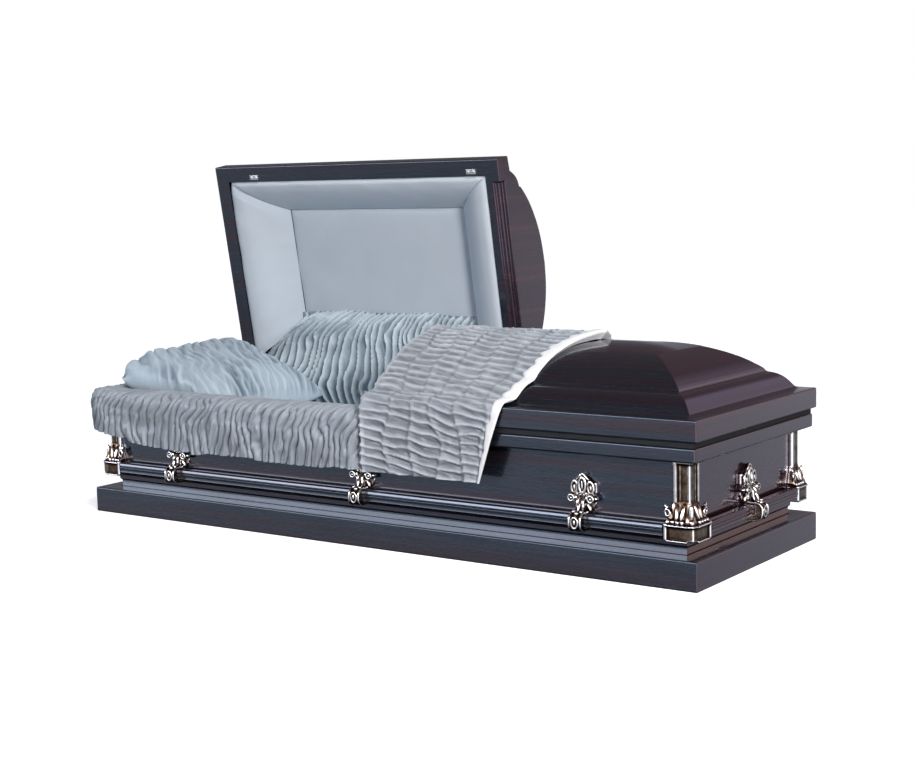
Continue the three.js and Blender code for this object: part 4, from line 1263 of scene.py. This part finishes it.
def pillow_place(upper):
    """Places the upper or the lower sheet of the pillow, seam and all."""
    def place(u, v):
        a, b = 2 * u - 1, 2 * v - 1
        pull = 1 - 0.06 * (1 - a * a) * b * b - 0.06 * (1 - b * b) * a * a
        x = PILLOW_AT[0] + PILLOW_SIZE[0] * (a * pull + 1) / 2
        y = PILLOW_AT[1] + PILLOW_SIZE[1] * (b * pull + 1) / 2
        y = y + np.where(b < 0, -b * 20 * np.minimum(1, a + 1), 0)
        seam = SEAM - 58 * a + 9 * b * (1 - a)
        crown = ((1 - np.where(a < 0, a ** 12, a ** 4)) * (1 - np.where(b < 0, b ** 8, b ** 4))) ** 0.5
        under = np.minimum(np.maximum(bed_height(x) + 3, seam - HANG * crown), seam)
        return np.stack([x, y, seam + RISE * crown if upper else under], -1)

    return place


bm = bmesh.new()
for upper in (True, False):
    grid = bmesh.ops.create_grid(bm, x_segments=64, y_segments=88, size=0.5)["verts"]
    flat = np.array([v.co for v in grid])[:, :2] + 0.5
    move_points(grid, pillow_place(upper)(flat[:, 0], flat[:, 1]) * MM)
    if not upper:
        bmesh.ops.reverse_faces(bm, faces=list({face for vert in grid for face in vert.link_faces}))
bmesh.ops.remove_doubles(bm, verts=bm.verts[:], dist=0.0002)
lay_out(bm, lambda vert: (vert.co.x, vert.co.y))
pillow = as_object(bm, "pillow_cushion", [lining_crepe], 80)
print("pillow", len(pillow.data.vertices), "points")

# %% Pillow filling
MOST = 0.009      # how far the filling may move a point, in metres
form = np.array([v.co for v in pillow.data.vertices])
cloth = pillow.modifiers.new("filling", "CLOTH")
cloth.settings.use_pressure = True
cloth.settings.uniform_pressure_force = 3.0
cloth.settings.quality = 4
cloth.settings.effector_weights.gravity = 0
cloth.settings.shrink_min = -0.03
scene = bpy.context.scene
for step in range(1, 17):
    scene.frame_set(step)
filled = pillow.evaluated_get(bpy.context.evaluated_depsgraph_get())
shift = np.array([v.co for v in filled.data.vertices]) - form
pillow.modifiers.clear()
scene.frame_set(1)
far = np.linalg.norm(shift, axis=1, keepdims=True)
print("pillow moved up to", round(float(far.max()) / MM, 1), "mm")
form = form + shift * np.minimum(1, MOST / np.maximum(far, 1e-9))
move_points(pillow.data.vertices, form)
finer = pillow.modifiers.new("finer", "SUBSURF")
finer.levels = finer.render_levels = 1
pillow.data = bpy.data.meshes.new_from_object(pillow.evaluated_get(bpy.context.evaluated_depsgraph_get()))
pillow.modifiers.clear()

# %% [markdown]
# ## Wrinkles of the pillow
# The cloth of a real one is slack over its filling. Wrinkles run slantwise over the face that shows,
# and at the head end the cloth is bunched into deeper gathers. Both are too fine for the simulation,
# so they are added along the normals afterwards.

# %% Pillow wrinkles
spots = np.array([v.co for v in pillow.data.vertices]) / MM
facing = np.array([v.normal for v in pillow.data.vertices])
x, y, z = spots.T
front = np.clip((facing[:, 2] + 0.15) / 0.4, 0, 1)
slant, across = 0.45 * x + 0.89 * y, 0.89 * x - 0.45 * y
patch = np.clip(drift(slant / 120, across / 150, 62) * 1.3 + 0.65, 0.4, 1)
wrinkle = 0.75 * folds(slant, across, 34, 61, 0.9, True) + 0.45 * creases(slant, across, 12, 66, 0.1)
wrinkle = np.clip(wrinkle, 0, 1)
bunch = np.exp(-(np.clip(x + 990, 0, 999) / 85) ** 1.5)
gather = folds(y + 0.5 * x, x, 50, 64, 0.8)
lift = (1 - bunch) * 10.0 * (wrinkle - 0.35) * patch + 26 * (gather - 0.65) * bunch
spots = spots + facing * (front * lift)[:, None]
spots[:, 2] = np.maximum(spots[:, 2], bed_height(spots[:, 0]) + 1.5)
# Painted shade in the valleys of the wrinkles and of the gathers at the head end, on the face that shows.
painted_shade = front * ((1 - bunch) * patch * fold_shade(wrinkle, 0.8) + bunch * fold_shade(gather, 0.8))
mark_points(pillow.data, "valley", painted_shade)
move_points(pillow.data.vertices, spots * MM)
pillow.data.shade_smooth()
attach(pillow, "pillow", "casket_body")
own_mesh(pillow)
print("pillow wrinkled", len(spots), "points")

# %% [markdown]
# ## The throw
# A ruched overlay of silvery crepe lies over the foot lid, from low on the near side over the crown
# to the far side. Its folds run along the casket and are caught together every 80 mm or so by
# gathering threads. A white satin binding edges its right hem. The section is [y, z, x of the hem].
# The far half doesn't show in the photograph: it mirrors the near half and lies a little closer.

# %% Section of the throw
throw_rows = [(-369, 219, 420), (-371, 300, 449), (-370, 380, 476), (-367, 414, 488), (-356, 434, 493),
              (-338, 442, 499), (-316, 444, 505), (-302, 456, 509), (-290, 469, 514), (-274, 480, 519),
              (-256, 487, 523), (-248, 494, 525), (-236, 507, 527), (-216, 521, 529), (-191, 537, 532),
              (-161, 553, 538), (-129, 567, 547), (-96, 579, 559), (-56, 590, 576), (0, 598.5, 600),
              (56, 580.5, 581), (96, 568.4, 556), (129, 558.4, 544), (161, 547, 535), (191, 532.6, 530),
              (216, 519, 527), (236, 505.5, 524), (248, 496, 522), (254, 489, 521)]
# How far the section stands off the lid, row by row.
clearance = [15, 17, 14, 10, 8, 11, 9.5, 6.5, 7, 8.5, 8, 6, 8.5, 9, 10, 12, 13, 14, 15, 16, 13, 9, 8, 8, 7.5,
             7.5, 7, 6, 6]
# How far the edge of the binding turns down to the lid, row by row.
turn_down = [0] * 11 + [1, 4, 4.3, 6.2, 8.4, 10.8, 14, 18, 22.7, 9, 4, 3, 3, 2.5, 2.5, 2, 1, 1]
chords = np.cumsum([0] + [math.dist(a[:2], b[:2]) for a, b in zip(throw_rows, throw_rows[1:])])
THROW_LEFT = 33.0            # x of its left edge
THREAD_SPACING = 82          # between two gathering threads
FRONT_SHARE = 0.243          # the part of the section below the lid's rim
OVERLAP = 0.004              # by this share the cloth on the lid reaches below the rim
column_shift = np.random.default_rng(78).uniform(0, 1, 12)


def by_row(values, v):
    """Reads one value per row at shares v of the section's length."""
    return np.interp(v, chords / chords[-1], values)


def on_lid(place):
    """The part of the throw or its binding that lies on the lid."""
    return lambda u, v: place(u, FRONT_SHARE - OVERLAP + (1 + OVERLAP - FRONT_SHARE) * v)


def below_rim(place):
    """The part that hangs down in front, below the lid's rim."""
    return lambda u, v: place(u, FRONT_SHARE * v)


print("throw, length of its section", round(chords[-1]), "mm")

# %% Throw


def throw_at(u, v):
    """Places the throw: u runs from its left edge to the right hem, v from the near hem to the far one."""
    point, normal, fall = section([row[:2] for row in throw_rows], v)
    hem = by_row([row[2] for row in throw_rows], v)
    room = by_row(clearance, v)
    x = THROW_LEFT + (hem - THROW_LEFT) * u
    # Each column between two threads has its folds at another height, so they don't run through.
    column = np.clip((x - THROW_LEFT) / THREAD_SPACING + 0.3 * drift(x / 150, fall / 90, 77), 0, 9.9)
    whole = np.floor(column).astype(int)
    within = column - whole
    step = np.clip((within - 0.9) / 0.1, 0, 1)
    offset = column_shift[whole] * (1 - step) + column_shift[whole + 1] * step
    gather = np.clip(np.minimum(within, 1 - within) / 0.16, 0, 1) ** 0.6
    along = fall + 0.15 * (x - THROW_LEFT) + 13 * offset
    height = folds(along, x, 26, 73, 0.4, True)
    finer = creases(along, x, 8, 79, 0.1)
    from_left, from_right = x - THROW_LEFT, hem - x
    edge = np.clip(from_left / 14, 0, 1) * np.clip(from_right / 34, 0, 1)
    depth = (room - 1.5) * (0.45 + 0.55 * gather)
    over_apron = np.clip((430 - point[:, 1]) / 40, 0, 1) * np.exp(-((from_left / 34) ** 2))
    lowered = depth * (1 - 0.78 * height - 0.22 * finer) * (0.35 + 0.65 * edge) + 5.5 * (1 - edge) ** 2
    lowered = np.minimum(lowered, room - 1 - 3 * np.exp(-(from_left / 60) ** 2))
    point = point + normal * (13 * over_apron - lowered)[:, None]
    x = x - np.exp(-from_left / 12) * (7 * (height - 0.5) + 3 * drift(fall / 40, 0 * fall, 75))
    # Painted shade in the fold valleys, and more along the gathering threads.
    painted_shade = fold_shade(0.78 * height + 0.3 * finer, 0.75) * edge * (0.5 + 0.5 * gather)
    painted_shade = painted_shade + 0.3 * (1 - gather) * edge
    return np.stack([x, point[:, 0], point[:, 1]], -1), np.clip(painted_shade, 0, 0.9)


throw_over, over_area = sheet_of("throw_over_lid", (150, 310), on_lid(throw_at), (560, 760), throw_crepe)
throw_front, front_area = sheet_of("throw_front_fall", (150, 110), below_rim(throw_at), (480, 300),
                                   throw_crepe)

# %% Binding of the right hem
BINDING = 40          # its full width
TURNS_DOWN = 0.78     # the share of its width where the outer edge starts to turn down


def binding_place(u, v):
    """The satin band: its outer edge is cut clean, its inner edge is drawn into the folds."""
    point, normal, fall = section([row[:2] for row in throw_rows], v)
    hem = by_row([row[2] for row in throw_rows], v)
    down = by_row(turn_down, v) * np.clip((u - TURNS_DOWN) / (1 - TURNS_DOWN), 0, 1)
    u = np.clip(u / TURNS_DOWN, 0, 1)
    wide = BINDING * (0.17 + 0.83 * np.clip(v / 0.3, 0, 1) ** 1.2)
    wide = wide * (1 - 0.3 * np.clip((v - 0.45) / 0.3, 0, 1))
    wide = wide * (1 + 0.28 * drift(fall / 17, 0 * fall, 81) * (1 - u))
    pucker = 1.3 * drift(fall / 15, u * 1.5, 83) * (1 - u) + 1.1 * drift(fall / 60, 0 * u, 84)
    out = 4.4 * np.clip(1 - (2 * u - 1) ** 4, 0, 1) - 4.5 + pucker - down
    point = point + normal * out[:, None]
    return np.stack([hem + 4 - wide * (1 - u) - 0.9 * down, point[:, 0], point[:, 1]], -1)


bound_over, _ = sheet_of("throw_binding", (19, 300), on_lid(binding_place), (30, 760), hem_satin, 2.0)
bound_front, _ = sheet_of("throw_front_binding", (19, 110), below_rim(binding_place), (30, 240),
                          hem_satin, 2.0)
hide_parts("throw")
for item in (throw_over, throw_front, bound_over, bound_front):
    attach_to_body(item, "foot_lid_body")
for item in (throw_front, bound_front):
    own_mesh(item)
